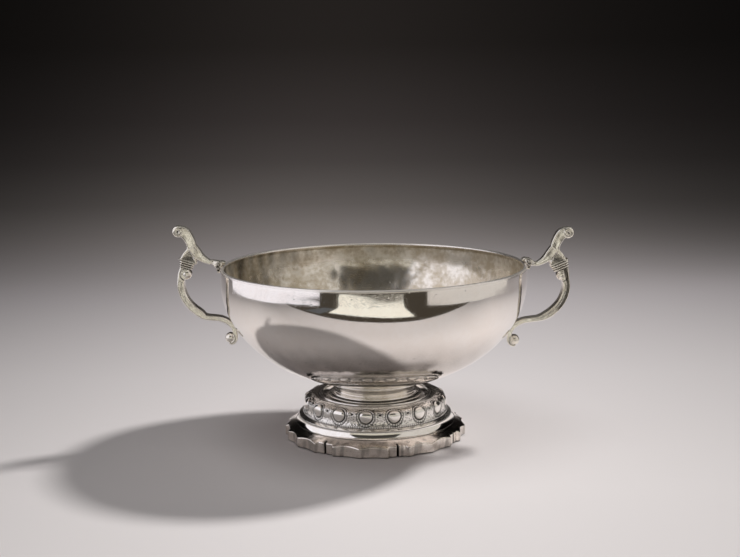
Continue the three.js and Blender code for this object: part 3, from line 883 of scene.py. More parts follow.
@dataclass
class Bowl:
    """The raised bowl: half an ellipsoid under a short upright wall, with a thickened lip."""

    upright: float = 7.4
    wall: float = 1.2
    lip_width: float = 1.7
    lip_height: float = 2.2
    lip_drop: float = 1.1
    throat_drop: float = 4.0
    inner_drop: float = 4.8
    columns: int = 420
    outer_mark: float = 7.5
    outer_depth: float = 0.012
    inner_mark: float = 6.5
    inner_depth: float = 0.30
    wobble: float = 0.05
    ripple: float = 0.0015
    most_relief: float = 0.9
    dull_from: float = 71.0
    dull_to: float = 77.0

    def __post_init__(self) -> None:
        """Takes the bowl's main sizes from the frame."""
        low, high = node_box("bowl")
        self.radius = high[1]
        self.base = low[2]
        self.rim = high[2]
        self.shoulder = self.rim - self.upright
        self.depth = self.shoulder - self.base

    def radius_at(self, height: float) -> float:
        """Returns the radius of the outer face at a height."""
        rise = min(max((self.shoulder - height) / self.depth, 0), 1)
        return self.radius * (1 - rise * rise) ** 0.5

    def profile(self) -> tuple[np.ndarray, np.ndarray]:
        """Draws the section from the axis outside, over the lip and back to the axis inside.

        Returns:
            Rows of (radius, height), and how far each row is inside, from 0 to 1, in one column.
        """
        bead = self.lip_width / 2
        inner = self.radius - self.wall
        throat_end = self.rim - self.throat_drop
        middle = self.rim - self.inner_drop
        lip = arc((self.radius - bead, self.rim - bead), (bead, bead), 0, 180, 12)
        outer = arc((0, self.shoulder), (self.radius, self.depth), -90, 0, 108)
        face = evenly(np.array([[self.radius, self.shoulder], [self.radius, self.rim - bead]]), 0.7)
        throat = rounded([
            tuple(lip[-1]), (lip[-1][0], self.rim - self.lip_drop), (inner, self.rim - self.lip_height),
            (inner, throat_end),
        ], 0.5)
        down = evenly(np.array([[inner, throat_end], [inner, middle]]), 0.8)
        inside = arc((0, middle), (inner, middle - self.base - self.wall), 0, -90, 72)
        pieces = [outer, face[1:], lip[1:], throat[1:], down[1:], inside[1:]]
        share = np.repeat([0.0, 0.0, 0.0, 1.0, 1.0, 1.0], [len(piece) for piece in pieces])
        return np.vstack(pieces), share[:, None]

    def inner_darkening(self, points: np.ndarray) -> np.ndarray:
        """Works out the darkening inside: a line under the lip and dark streaks by the left handle.

        Args:
            points: Places on the bowl.

        Returns:
            The darkening at each place, from 0 to 1.
        """
        under_lip = ramp(points[..., 2], self.rim - 8, self.rim - 3) * (points[..., 2] < self.rim - 1.5)
        left = ramp(-points[..., 0] / self.radius, 0.3, 0.95)
        streaks = 0.6 + 0.4 * wavy(points * [1, 1, 0.35], 7.0, 12)
        return (0.22 * under_lip + 0.75 * left) * streaks

    def outer_shade_and_specks(self, points: np.ndarray) -> np.ndarray:
        """Works out the painted shade outside, which deepens downwards and towards the front.

        Args:
            points: Places on the bowl.

        Returns:
            The painted shade, with a few specks, at each place, from 0 to 1.
        """
        # Painted shade: darker low on the body and towards the front left, with a few specks.
        drop = self.shoulder - points[..., 2]
        low = ramp(drop, 14.0, 32.0) * (1 - ramp(drop, 35.0, 39.0))
        turn = np.arctan2(points[..., 0], -points[..., 1])
        front = 0.5 + 0.5 * np.cos(turn + np.radians(25))
        specks = ramp(wavy(points, 3.0, 14), 1.15, 1.5) * 0.2
        return (0.5 + 0.07 * wavy(points, 8.0, 15)) * low * front + specks * ramp(low, 0.0, 0.4)

    def build(self) -> None:
        """Builds the bowl with its hammer marks and its slight unevenness."""
        profile, inside = self.profile()
        plain = turned(profile, self.columns, closed=False)
        away = ramp(np.abs(profile[:, 1] - self.rim), 1.0, 6.0)[:, None]
        marks = hammered(plain, self.outer_mark, 0.12, 3) * self.outer_depth
        deep = hammered(plain, self.inner_mark, 0.06, 5) * self.inner_depth
        swell = wavy(plain, 55.0, 8) * self.wobble + wavy(plain, 9.0, 9) * self.ripple
        relief = away * ((1 - inside) * (marks + swell - self.outer_depth) + inside * (deep - swell))
        grid = turned(profile, self.columns, np.minimum(relief, self.most_relief), closed=False)
        height = plain[..., 2]
        # Inside, a darker band under the lip and streaks to the left; outside, painted shade low on the
        # front.
        grime = inside * self.inner_darkening(plain) + (1 - inside) * self.outer_shade_and_specks(plain)
        dull_wall = inside * (0.25 + 0.6 * ramp(height, self.dull_from, self.dull_to))
        matt = np.maximum(dull_wall, ramp(height, self.rim - 1.2, self.rim - 0.6))
        masks = {Mask.INSIDE: inside, Mask.GRIME: grime, Mask.MATT: matt}
        seat_grid("raised_bowl", grid, masks, RAISED, "bowl", closed=False)


@dataclass
class Neck:
    """The spool that carries the bowl, with a bead moulding round its base."""

    bore: float = 16.4
    base_radius: float = 22.4
    plinth: float = 0.7
    bead: float = 1.2
    bead_radius: float = 21.0
    waist_radius: float = 18.6
    top_radius: float = 23.0
    edge: float = 0.7
    wobble: float = 0.015
    dullness: float = 0.3
    columns: int = 400

    def profile(self, bowl: Bowl) -> tuple[np.ndarray, float, float]:
        """Draws the section of the neck, upwards on the outer side.

        Args:
            bowl: The bowl, whose underside the neck reaches up to.

        Returns:
            Rows of (radius, height), the height of the neck's base and that of its bead's base.
        """
        low, _ = node_box("neck")
        base = low[2] - 0.2
        top = bowl.shoulder - bowl.depth * (1 - (self.top_radius / bowl.radius) ** 2) ** 0.5 - 0.1
        bead_base = low[2] + self.plinth
        bead_top = bead_base + self.bead
        half = self.bead / 2
        bead_middle = self.bead_radius - half
        foot = rounded([
            (self.bore, base), (self.base_radius, base), (self.base_radius, bead_base),
            (bead_middle, bead_base),
        ], 0.25)
        bead = arc((bead_middle, bead_base + half), (half, half), -90, 90, 14)
        step = rounded([
            tuple(bead[-1]), (self.waist_radius + 0.5, bead_top), (self.waist_radius, bead_top + 0.6),
        ], 0.3)
        hollow = smooth_line([
            tuple(step[-1]),
            (self.waist_radius + 0.1, bead_top + 1.0),
            (self.waist_radius + 1.4, top - self.edge - 0.6),
            (self.top_radius, top - self.edge),
        ], 24)
        crown = rounded([
            tuple(hollow[-1]), (self.top_radius, top), (self.bore + 2, top - 1.5), (self.bore, top - 3),
            (self.bore, base),
        ], 0.15)
        outline = np.vstack([foot[:-1], bead, step[1:], hollow[1:], crown[1:-1]])
        return evenly(np.vstack([outline, outline[:1]]), 0.22)[:-1], base, bead_base

    def build(self, bowl: Bowl) -> None:
        """Builds the neck.

        Args:
            bowl: The bowl, whose underside the neck reaches up to.
        """
        profile, base, bead_base = self.profile(bowl)
        plain = turned(profile, self.columns)
        grid = turned(profile, self.columns, wavy(plain, 14.0, 21) * self.wobble)
        height = profile[:, 1:]
        # Painted shade: a dark line in the corner under the bead and one along the neck's base.
        grime = 0.8 * ridge(height - bead_base, 0.14) + 0.5 * ridge(height - base, 0.3)
        seat_grid("neck_spool", grid, {Mask.GRIME: grime, Mask.MATT: self.dullness}, FOOT, "neck")


class Carving(NamedTuple):
    """How deep a surface is cut at each point, in millimetres, and how much shade is painted into it."""

    depth: np.ndarray
    grime: np.ndarray

    def with_more(self, *others: "Carving") -> "Carving":
        """Returns the sum of this and other cuts."""
        cuts = (self, *others)
        return Carving(sum(cut.depth for cut in cuts), sum(cut.grime for cut in cuts))


@dataclass
class FriezeRing:
    """The bulging drum with sixteen oval medallions on a punched ground."""

    bulge_radius: float = 34.1
    waist_radius: float = 34.05
    shoulder_rise: float = 5.9
    ledge_radius: float = 36.8
    ledge_rise: float = 1.05
    face_radius: float = 34.55
    face_height: float = 0.9
    lip_radius: float = 26.7
    lip_width: float = 1.1
    lip_rise: float = 1.0
    groove: float = 0.6
    bore: float = 16.4
    wall: float = 1.8
    count: int = 16
    azimuth: float = -7.6
    centre_height: float = 17.1
    boss_width: float = 5.8
    boss_height: float = 6.0
    boss_relief: float = 0.5
    frame_width: float = 8.6
    frame_height: float = 9.5
    dot_radius: float = 0.5
    dot_rise: float = 0.9
    moat_depth: float = 0.4
    line_depth: float = 0.14
    punch_depth: float = 0.2
    dot_depth: float = 0.8
    flank_depth: float = 0.12
    strokes: int = 20
    pit_spacing: float = 0.78
    pit_depth: float = 0.28
    beads: int = 200
    bead_relief: float = 0.28
    bead_half: float = 0.5
    bead_rise: float = 0.45
    chased_rise: float = 6.8
    columns: int = 1024

    def profile(self) -> tuple[np.ndarray, int]:
        """Draws the section, upwards on the outer side.

        The shoulder is a superellipse quarter, x^3 + z^3 = 1 in units of its width and height.

        Returns:
            Rows of (radius, height), and how many of them are finely spaced on the outer side.
        """
        low, high = node_box("frieze_ring")
        base = low[2] - 0.15
        lip_top = high[2]
        plate = lip_top - self.lip_rise
        face_base = base + self.ledge_rise
        face_top = face_base + self.face_height
        shoulder_base = base + self.shoulder_rise
        groove_radius = self.lip_radius + self.groove
        inside = self.bulge_radius - self.wall
        ledge = rounded([
            (self.ledge_radius - 2, base), (self.ledge_radius, base), (self.ledge_radius, base + 0.2),
            (self.face_radius + 0.15, face_base), (self.face_radius, face_base + 0.1),
            (self.face_radius, face_top),
        ], 0.12)
        waist = smooth_line([
            (self.face_radius, face_top),
            (self.waist_radius + 0.22, face_top + 0.7),
            (self.waist_radius, face_top + 1.7),
            (self.bulge_radius, shoulder_base),
        ], 30)
        quarter = np.linspace(0, np.pi / 2, 60)
        shoulder = np.column_stack([
            groove_radius + (self.bulge_radius - groove_radius) * np.cos(quarter) ** (2 / 3),
            shoulder_base + (plate + 0.3 - shoulder_base) * np.sin(quarter) ** (2 / 3),
        ])
        lip = rounded([
            (groove_radius, plate + 0.3), (self.lip_radius, plate + 0.35), (self.lip_radius, lip_top),
            (self.lip_radius - self.lip_width + 0.2, lip_top), (self.lip_radius - self.lip_width, plate),
        ], 0.3)
        fine = evenly(np.vstack([ledge, waist[1:], shoulder[1:], lip[1:]]), 0.23)
        rest = np.array([
            (self.bore, plate), (self.bore, plate - self.wall), (inside - 2 * self.wall, plate - self.wall),
            (inside, plate - 2 * self.wall), (inside, base),
        ])
        return np.vstack([fine, rest]), len(fine)

    def from_frame(self, across: np.ndarray, up: np.ndarray) -> np.ndarray:
        """Returns the distance from a medallion's middle, which is 1 on its outer line."""
        return np.hypot(across / (self.frame_width / 2), up / (self.frame_height / 2))

    def medallion(self, across: np.ndarray, up: np.ndarray) -> Carving:
        """Cuts a deep moat, a ring of punched marks and a thin outer line round a medallion's dome.

        The dome's height is h sqrt(1 - q^2), where q is the distance from its middle in units of its half
        width and half height.

        Args:
            across: Distance from the medallion's middle round the ring.
            up: Distance from its middle along the section.

        Returns:
            The cuts.
        """
        inner = np.hypot(across / (self.boss_width / 2), up / (self.boss_height / 2))
        outer = self.from_frame(across, up)
        dome = self.boss_relief * np.sqrt(np.clip(1 - inner**2, 0, 1))
        moat = 1 - ramp(np.abs(inner - 1.12) * self.boss_width / 2, 0.24, 0.40)
        line = 1 - ramp(np.abs(outer - 1) * self.frame_width / 2, 0.12, 0.32)
        stroke = ramp(np.cos(self.strokes * np.arctan2(up, across)), 0.0, 0.4)
        punches = stroke * (1 - ramp(np.abs(outer - 0.86), 0.05, 0.09)) * ramp(inner, 1.28, 1.34)
        # The moat, the line and the punches are also painted dark: painted shade in the cuts.
        depth = self.moat_depth * moat + self.line_depth * line + self.punch_depth * punches - dome
        return Carving(depth, moat + 0.9 * line + punches)

    def dots(self, across: np.ndarray, up: np.ndarray) -> Carving:
        """Drills a dot midway between two medallions, between two thin curved lines.

        Args:
            across: Distance from the nearest medallion's middle round the ring.
            up: Distance from its middle along the section.

        Returns:
            The cuts.
        """
        side = np.radians(180 / self.count) * self.bulge_radius - np.abs(across)
        rise = up - self.dot_rise
        dot = 1 - ramp(np.hypot(side, rise), self.dot_radius, self.dot_radius + 0.22)
        flank = 1 - ramp(np.abs(np.hypot(side, rise * 0.8) - 1.3), 0.06, 0.2)
        flank = flank * (np.abs(rise) < 1.2) * (side > 0.5)
        # The dot and its flanking lines are painted dark: painted shade in the cuts.
        return Carving(self.dot_depth * dot + self.flank_depth * flank, dot + 0.7 * flank)

    def bead_row(self, level: np.ndarray, turn: np.ndarray) -> Carving:
        """Raises a row of beads along the lower edge, with painted shade in the gaps between them.

        Args:
            level: Height over the ring's base.
            turn: Azimuth in degrees.

        Returns:
            The cuts, which are below 0 where a bead stands up.
        """
        in_row = np.clip(1 - ((level - self.ledge_rise - self.bead_rise) / self.bead_half) ** 2, 0, 1)
        gap = 1 - np.abs(np.cos(np.radians(turn) * self.beads / 2))[None, :]
        relief = self.bead_relief * np.sqrt(in_row) * (1 - gap**2)
        return Carving(-relief, 1.3 * gap**2 * (in_row > 0))

    def matting(self, plain: np.ndarray, level: np.ndarray, up: np.ndarray, outer: np.ndarray) -> Carving:
        """Mats the ground with fine pits, outside the medallions and above the beads.

        Args:
            plain: Points of the plain ring.
            level: Height over the ring's base.
            up: Distance from the medallions' middle along the section.
            outer: Distance from the nearest medallion's middle, 1 on its outer line.

        Returns:
            The cuts.
        """
        most = 0.45
        pits = most - np.minimum(hammered(plain, self.pit_spacing, 0.05, 13), most)
        over_beads = level - self.ledge_rise - self.bead_rise
        ground = ramp(outer, 1.02, 1.1) * ramp(over_beads, 0.4, 0.7)
        ground = ground * (1 - ramp(up, self.chased_rise - 0.6, self.chased_rise))
        # The deepest pits are painted dark: painted shade in the pits.
        return Carving(self.pit_depth * pits * ground, 0.95 * ramp(pits, 0.30, 0.42) * ground)

    def chasing(self, profile: np.ndarray, fine: int) -> Carving:
        """Works out the chasing of the whole ring.

        Args:
            profile: The section's rows.
            fine: How many rows are on the outer side.

        Returns:
            The cuts for each row and column.
        """
        far = 100.0
        steps = np.linalg.norm(np.diff(profile, axis=0), axis=1)
        along = np.concatenate([[0], np.cumsum(steps)])[:, None]
        hidden = (np.arange(len(profile)) >= fine)[:, None]
        height = profile[:, 1:] + far * hidden
        within = profile[:, :1] < self.bulge_radius - 2
        start = np.argmin(np.abs(height - self.centre_height) + far * within)
        up = along - along[start]
        level = height - profile[0, 1]
        pitch = 360 / self.count
        turn = np.degrees(np.arange(self.columns) * 2 * np.pi / self.columns) - self.azimuth
        offset = (turn + pitch / 2) % pitch - pitch / 2
        across = np.radians(offset)[None, :] * self.bulge_radius
        outer = self.from_frame(across, up)
        plain = turned(profile, self.columns)
        cuts = self.medallion(across, up).with_more(
            self.dots(across, up), self.bead_row(level, turn), self.matting(plain, level, up, outer),
        )
        shown = ~hidden * (1 - ramp(up, self.chased_rise, self.chased_rise + 0.4))
        return Carving(cuts.depth * shown, cuts.grime * shown)

    def build(self) -> None:
        """Builds the ring."""
        profile, fine = self.profile()
        cuts = self.chasing(profile, fine)
        grid = turned(profile, self.columns, -cuts.depth)
        radius = profile[:, :1]
        level = profile[:, 1:] - profile[0, 1]
        on_plate = profile[:, 1:] > self.centre_height
        # Painted shade: dark lines in the groove beside the lip and in the crevice at the foot of the face.
        lip_groove = 0.8 * ridge(radius - self.lip_radius - 0.5, 0.45) * on_plate
        crevice = 0.7 * ridge(radius - self.face_radius - 0.3, 0.4) * ridge(level - 1.1, 0.35)
        front = ramp(level, 0.9, 1.4) * (1 - ramp(level, 7.5, 8.5))
        matt = 0.5 * front * (1 - 0.9 * (cuts.depth < -0.2))
        masks = {Mask.GRIME: cuts.grime + lip_groove + crevice, Mask.MATT: matt}
        seat_grid("frieze_drum", grid, masks, CHASED, "frieze_ring")


@dataclass(frozen=True)
class Flare:
    """The hollow line from the frieze ring down to the base band's edge, steep above and nearly flat below.

    With a at the top, c at the edge and b where their tangents meet, it is the rational curve
    ((1-t)^2 a + 2wt(1-t) b + t^2 c) / ((1-t)^2 + 2wt(1-t) + t^2).
    """

    top: Pair
    bend: Pair = (36.9, 7.5)
    edge: Pair = (43.8, 4.5)
    weight: float = 1.5
    seam_radius: float = 38.4

    def line(self) -> np.ndarray:
        """Works out the curve.

        Returns:
            Rows of (radius, height) from the top to the edge.
        """
        t = np.linspace(0, 1, 121)[:, None]
        start, pull, end = (1 - t) ** 2, 2 * self.weight * t * (1 - t), t**2
        points = start * np.array(self.top) + pull * np.array(self.bend) + end * np.array(self.edge)
        return points / (start + pull + end)

    def height_at(self, radius: np.ndarray) -> np.ndarray:
        """Returns the curve's height at a radius."""
        line = self.line()
        return np.interp(radius, line[:, 0], line[:, 1])


@dataclass
class FootSkirt:
    """The steep hollow moulding between the frieze ring and the base band."""

    flare: Flare
    wall: float = 1.5
    lap: float = 0.12
    foot_width: float = 0.6
    wobble: float = 0.012
    columns: int = 480

    def build(self) -> None:
        """Builds the moulding."""
        seam = self.flare.seam_radius
        line = self.flare.line()
        outer = line[line[:, 0] < seam][::-1]
        base = float(self.flare.height_at(np.array(seam)))
        top_radius, top = self.flare.top
        inner = top_radius - self.wall
        toe = seam + self.lap
        heel = (seam - self.foot_width, base)
        edge = rounded([heel, (toe, base), (toe, base + 0.2), tuple(outer[0])], 0.1)
        outline = np.vstack([edge, outer[1:], [(inner, top), (inner, base), heel]])
        profile = evenly(outline, 0.15)[:-1]
        plain = turned(profile, self.columns)
        grid = turned(profile, self.columns, wavy(plain, 22.0, 31) * self.wobble)
        height = profile[:, 1:]
        # Painted shade: dark lines along the joints at the top and at the base.
        grime = 0.8 * ridge(height - top, 0.3) + 0.9 * ridge(height - base, 0.14)
        seat_grid("skirt_moulding", grid, {Mask.GRIME: grime}, FOOT, "foot_skirt")


@dataclass
class BaseBand:
    """The band that the cup stands on, cut to a contour of cusps, scallops and notches."""

    flare: Flare
    cusp_radius: float = 43.5
    scallop_depth: float = 1.5
    shoulder_depth: float = 1.4
    sections: int = 8
    cusp_angle: float = 16.0
    shoulder_angle: float = 2.0
    land: float = 1.9
    wall: float = 1.8
    azimuth: float = -10.0
    unevenness: float = 3.0
    arris: float = 0.5
    crease_depth: float = 0.95
    crease_width: float = 0.45
    lap: float = 0.1
    dent_depth: float = 0.10
    ripple_depth: float = 0.01
    columns: int = 1440

    def contour(self, azimuth: np.ndarray) -> tuple[np.ndarray, np.ndarray]:
        """Works out the edge's radius.

        Between the cusps, at 0 and at the cusp angle from a section's middle, the edge is hollowed by
        depth * |sin(pi * offset / cusp angle)|. Past the outer cusps it steps in to a shoulder. The sections
        were laid out wider in front than behind: the azimuth is taken back by a sine.

        Args:
            azimuth: Azimuths in degrees.

        Returns:
            The radius, and the distance along the edge to the nearest notch between two sections.
        """
        pitch = 360 / self.sections
        turn = azimuth - self.azimuth
        turn = turn - self.unevenness * np.sin(np.radians(turn))
        offset = np.abs((turn + pitch / 2) % pitch - pitch / 2)
        wave = np.sin(np.pi * offset / self.cusp_angle)
        softness = 0.006
        scallop = self.cusp_radius - self.scallop_depth * (np.sqrt(wave**2 + softness) - softness**0.5)
        step = ramp(offset, self.cusp_angle, self.cusp_angle + self.shoulder_angle)
        shoulder = self.cusp_radius - self.shoulder_depth * step
        radius = np.where(offset <= self.cusp_angle, scallop, shoulder)
        return radius, np.radians(pitch / 2 - offset) * self.cusp_radius

    def section(self, edge: np.ndarray, seam: float) -> tuple[np.ndarray, np.ndarray]:
        """Draws the section at every azimuth: the underside, the upright face, the worn edge and the flare.

        The worn edge is the curve (1-t)^2 a + 2t(1-t) b + t^2 c, from a on the upright face over the corner
        b to c on the flare. The face bulges by swell * sin(pi share) between its lower and its upper edge.

        Args:
            edge: The edge's radius at each azimuth.
            seam: Radius at which the flare passes to the skirt.

        Returns:
            The radius and the height of each row at each azimuth.
        """
        swell = 0.04
        side_base = 0.7
        corner = self.flare.height_at(edge)
        side_top = corner - self.arris
        inwards = edge - self.arris
        on_flare = self.flare.height_at(inwards)
        up = np.linspace(0, 1, 13)[:, None]
        over = np.linspace(0, 1, 8)[1:, None]
        back = np.linspace(0, 1, 22)[1:, None]
        start, pull, end = (1 - over) ** 2, 2 * over * (1 - over), over**2
        worn_radius = start * (edge - swell) + pull * edge + end * inwards
        worn_height = start * side_top + pull * corner + end * on_flare
        flare = inwards + (seam - inwards) * back
        land = float(self.flare.height_at(np.array(seam))) - 0.15
        inner = seam - self.land
        under = np.array([[self.wall, 0.0], [0.75, 0.0], [0.4, 0.08], [0.15, 0.32]])
        inside = np.array([[seam, land], [inner, land], [inner, land - self.wall]])
        parts = [
            (edge - under[:, :1], under[:, 1:]),
            (edge - swell + swell * np.sin(np.pi * up), side_base + (side_top - side_base) * up),
            (worn_radius, worn_height),
            (flare, self.flare.height_at(flare)),
            (inside[:, :1], inside[:, 1:]),
            ((edge - self.wall)[None, :], (corner - self.wall)[None, :]),
        ]
        sides = [[np.broadcast_to(side, (len(side), self.columns)) for side in part] for part in parts]
        return np.vstack([radius for radius, _ in sides]), np.vstack([height for _, height in sides])

    def build(self) -> None:
        """Builds the band: creases, dents, painted shade in creases and along edges, and dark streaks."""
        azimuth = np.arange(self.columns) * 360 / self.columns
        edge, notch = self.contour(azimuth)
        edge = edge - self.crease_depth * ridge(notch, self.crease_width)
        seam = self.flare.seam_radius - self.lap
        radius, level = self.section(edge, seam)
        turn = np.radians(azimuth)
        grid = np.stack([radius * np.sin(turn), -radius * np.cos(turn), level], axis=-1)
        worn = (level > 0.1) * ramp(radius, seam + 0.8, seam + 2.2)
        dents = wavy(grid * [1, 1, 0.2], 5.0, 41) * self.dent_depth + wavy(grid, 2.4, 42) * self.ripple_depth
        grid[..., :2] *= 1 + (dents * worn / self.cusp_radius)[..., None]
        # Painted shade in the creases, in the corner at the seam and along the foot; dark streaks on the
        # flare besides.
        crease = (1 - ramp(np.abs(notch), 0.42, 0.65))[None, :] * (radius > self.cusp_radius - 3)
        corner = 0.9 * ridge(radius - seam, 0.3)
        foot = 0.95 * ridge(level, 0.4)
        streaks = 0.4 * ramp(wavy(grid * [1, 1, 0.15], 3.0, 43), -0.1, 0.9) * worn
        seat_grid("contoured_band", grid, {Mask.GRIME: crease + corner + foot + streaks}, BAND, "base_band")


class Side(Enum):
    """The side of the cup that a handle is on."""

    LEFT = -1
    RIGHT = 1


@dataclass
class Handle:
    """One cast handle: a lug on the lip, an upper casting, a knop and a lower double scroll.

    The sizes are measured out from the bowl's wall and up or down from its rim, for a handle on the right.
    """

    side: Side
    bowl: Bowl
    lift: float
    knop_tilt: float
    # How much painted shade darkens the outer half of the lower scroll's face.
    painted_face_shade: float
    joint_reach: float = 4.5
    joint_rise: float = 0.65
    joint_height: float = 2.0
    lug_rise: float = 2.4
    lug_drop: float = 3.2
    lug_depth: float = 7.0
    finial_reach: float = 19.6
    finial_rise: float = 15.5
    finial_radius: float = 2.7
    stem_width: float = 4.6
    flare_width: float = 9.2
    knop_reach: float = 16.1
    knop_drop: float = 0.5
    knop_width: float = 8.3
    knop_height: float = 3.2
    knop_depth: float = 6.8
    depth: float = 6.0
    scroll_reach: float = 21.3
    scroll_drop: float = 25.9
    scroll_thickness: float = 3.5
    arm_thickness: float = 2.4
    volute_radius: float = 2.7
    contact_drop: float = 30.3
    curl_radius: float = 2.6
    curl_reach: float = 0.8
    curl_drop: float = 3.2
    panel_width: float = 7.4
    panel_height: float = 4.8
    voxel: float = 0.16
    seam: float = 0.06
    skin_wave: float = 0.018
    skin_grain: float = 0.007
    skin_pit: float = 0.1

    def __post_init__(self) -> None:
        """Works out the places that the handle's pieces share."""
        wall, rim = self.bowl.radius, self.bowl.rim
        self.wall, self.rim = wall, rim
        self.joint = (wall + self.joint_reach, rim + self.joint_rise + self.lift)
        self.middle = np.array([wall + self.knop_reach, rim - self.knop_drop + self.lift])
        self.tilt = np.radians(self.knop_tilt)
        self.finial = (wall + self.finial_reach, rim + self.finial_rise + self.lift)
        self.outer_x = wall + self.scroll_reach - self.scroll_thickness / 2
        self.low_z = rim - self.scroll_drop + self.lift
        self.contact_z = rim - self.contact_drop + self.lift
        self.contact_x = self.bowl.radius_at(self.contact_z)
        self.curl = (
            self.contact_x + self.curl_reach + self.curl_radius,
            self.contact_z - self.curl_drop - self.curl_radius,
        )
        drop = self.knop_height / 2 + self.seam + self.volute_radius
        self.volute = self.along_knop(-drop, -1.0)

    @property
    def label(self) -> str:
        """The side's name."""
        return self.side.name.lower()

    def along_knop(self, up: float, out: float = 0.0) -> Pair:
        """Finds a place by the knop's leaning axis.

        Args:
            up: Distance along the axis from the knop's middle.
            out: Distance outwards from the axis.

        Returns:
            The place's x and height.
        """
        place = self.middle + up * np.array([-np.sin(self.tilt), np.cos(self.tilt)])
        place = place + out * np.array([np.cos(self.tilt), np.sin(self.tilt)])
        return tuple(place)

    def stem_z(self, share: float) -> float:
        """Returns a height on the stem, 0 being the knop's middle and 1 the rolled end's."""
        return self.middle[1] + (self.finial[1] - self.middle[1]) * share

    def in_knop_frame(self, points: np.ndarray) -> tuple[np.ndarray, np.ndarray]:
        """Measures points from the knop's leaning axis.

        Args:
            points: Points of a right handle.

        Returns:
            How far each lies out from the axis, and how far up along it.
        """
        away = points[:, [0, 2]] - self.middle
        out = away @ np.array([np.cos(self.tilt), np.sin(self.tilt)])
        up = away @ np.array([-np.sin(self.tilt), np.cos(self.tilt)])
        return out, up

    def cast(
        self, name: str, shells: list[Shell], node: str, carve: Callable[[np.ndarray, np.ndarray], Carving]
    ) -> None:
        """Fuses shells into a casting, carves it and gives it its uneven cast skin.

        Args:
            name: What the piece is.
            shells: Its surfaces, for a handle on the right.
            node: Name of the CAD node that it stands for, without its side.
            carve: Works out the carving from the points of a right handle and from how much each lies on a
                flat side.
        """
        mirror = np.diag([self.side.value, 1.0, 1.0])
        shells = [shell.placed(mirror, np.zeros(3)) for shell in shells]
        piece, points, normals = fused(f"{self.label}_{name}", shells, self.voxel, 2)
        flat = ramp(np.abs(normals[:, 1]), 0.5, 0.85)
        carving = carve(points @ mirror, flat)
        skin = wavy(points, 2.6, 51) * self.skin_wave + wavy(points, 0.9, 52) * self.skin_grain
        pits = 1 - ramp(hammered(points, 1.1, 0.03, 53), 0.0, 0.05)
        pits = pits * ramp(wavy(points, 6.0, 54), 0.3, 0.7)
        points = points + normals * (skin - self.skin_pit * pits - carving.depth)[:, None]
        # The mask darkens the carving's painted shade and the pits.
        reshape_mesh(piece, points, {Mask.GRIME: carving.grime + pits})
        seat(piece, CAST, f"{self.label}_{node}")

    def lug_beads(self) -> list[tuple[np.ndarray, float]]:
        """Lays out the beads on the lug, three on either side.

        Returns:
            The place and the radius of each bead.
        """
        rows = ((1.0, 0.95), (-0.9, 0.85), (-2.3, 0.6))
        return [
            (np.array([self.wall + 1.2, across * self.lug_depth * 0.45, self.rim + rise]), size)
            for across in (-1, 1)
            for rise, size in rows
        ]

    def carve_lug(self, points: np.ndarray, flat: np.ndarray) -> Carving:
        """Paints shade into the corners between the beads of the lug.

        Args:
            points: Points of a right handle.
            flat: How much each lies on a flat side, which makes no difference here.

        Returns:
            The carving.
        """
        grime = np.zeros(len(points))
        for place, size in self.lug_beads():
            grime += ridge(np.linalg.norm(points - place, axis=1) - size - 0.12, 0.2)
        return Carving(0.08 * np.clip(grime, 0, 1), 0.9 * grime)

    def build_lug(self) -> None:
        """Builds the clasp over the lip, its beads and the tongue out to the upper casting."""
        end = self.joint[0] - 0.15
        wall, rim, joint_z = self.wall, self.rim, self.joint[1]
        clasp = smooth_line([
            (wall + 1.0, rim - self.lug_drop, 1.4, self.lug_depth * 0.45),
            (wall + 1.0, rim - self.lug_drop * 0.4, 2.2, self.lug_depth * 0.9),
            (wall + 0.7, rim + self.lug_rise * 0.25, 2.6, self.lug_depth),
            (wall - 0.7, rim + self.lug_rise * 0.62, 1.9, self.lug_depth * 0.8),
            (wall - 2.0, rim + self.lug_rise * 0.5, 1.3, self.lug_depth * 0.6),
        ], 40)
        tongue = smooth_line([
            (wall + 0.6, rim + 0.4, 4.0, self.lug_depth * 0.75),
            ((wall + end) / 2, (rim + 0.4 + joint_z) / 2, 3.1, self.lug_depth * 0.66),
            (end - 0.6, joint_z, self.joint_height, self.depth * 0.62),
            (end + 0.1, joint_z, self.joint_height, self.depth * 0.62),
        ], 24)
        beads = [ball(*place, size) for place, size in self.lug_beads()]
        self.cast("lip_clasp", [strap(clasp), strap(tongue, 0.1), *beads], "rim_lug", self.carve_lug)

    def carve_upper(self, points: np.ndarray, flat: np.ndarray) -> Carving:
        """Sinks the triangular panel of the flare and the eye of the rolled end, with painted shade in both.

        Args:
            points: Points of a right handle.
            flat: How much each lies on a flat side.

        Returns:
            The carving.
        """
        out, up = self.in_knop_frame(points)
        foot = self.knop_height / 2 + 0.55
        share = (up - foot) / self.panel_height
        room = self.panel_width / 2 * (1 - np.clip(share, 0, 1)) - np.abs(out + 0.5 - 0.9 * share)
        panel = ramp(room, -0.1, 0.25) * ramp(share, -0.03, 0.05) * (1 - ramp(share, 0.95, 1.0)) * flat
        away = points[:, [0, 2]] - np.array(self.finial)
        reach = np.linalg.norm(away, axis=1)
        eye = ridge(reach - 0.1, 0.45) * flat
        rim = ridge(reach - self.finial_radius * 0.62, 0.3) * flat * ramp(-away[:, 1], -0.6, 0.8)
        below = np.linalg.norm(away + np.array([2.3, 3.4]), axis=1)
        under_roll_shade = (1 - ramp(below, 0.6, 2.4)) * flat
        streaks = 0.75 + 0.25 * wavy(points * [1, 1, 3], 2.0, 61)
        depth = 0.4 * panel + 0.35 * eye + 0.2 * rim
        # Painted shade: in the sunk panel, streaked, in the eye, along the rolled end's lower rim and beneath
        # it.
        grime = 0.75 * panel * streaks + eye + 0.6 * rim + 0.45 * under_roll_shade
        return Carving(depth, grime)

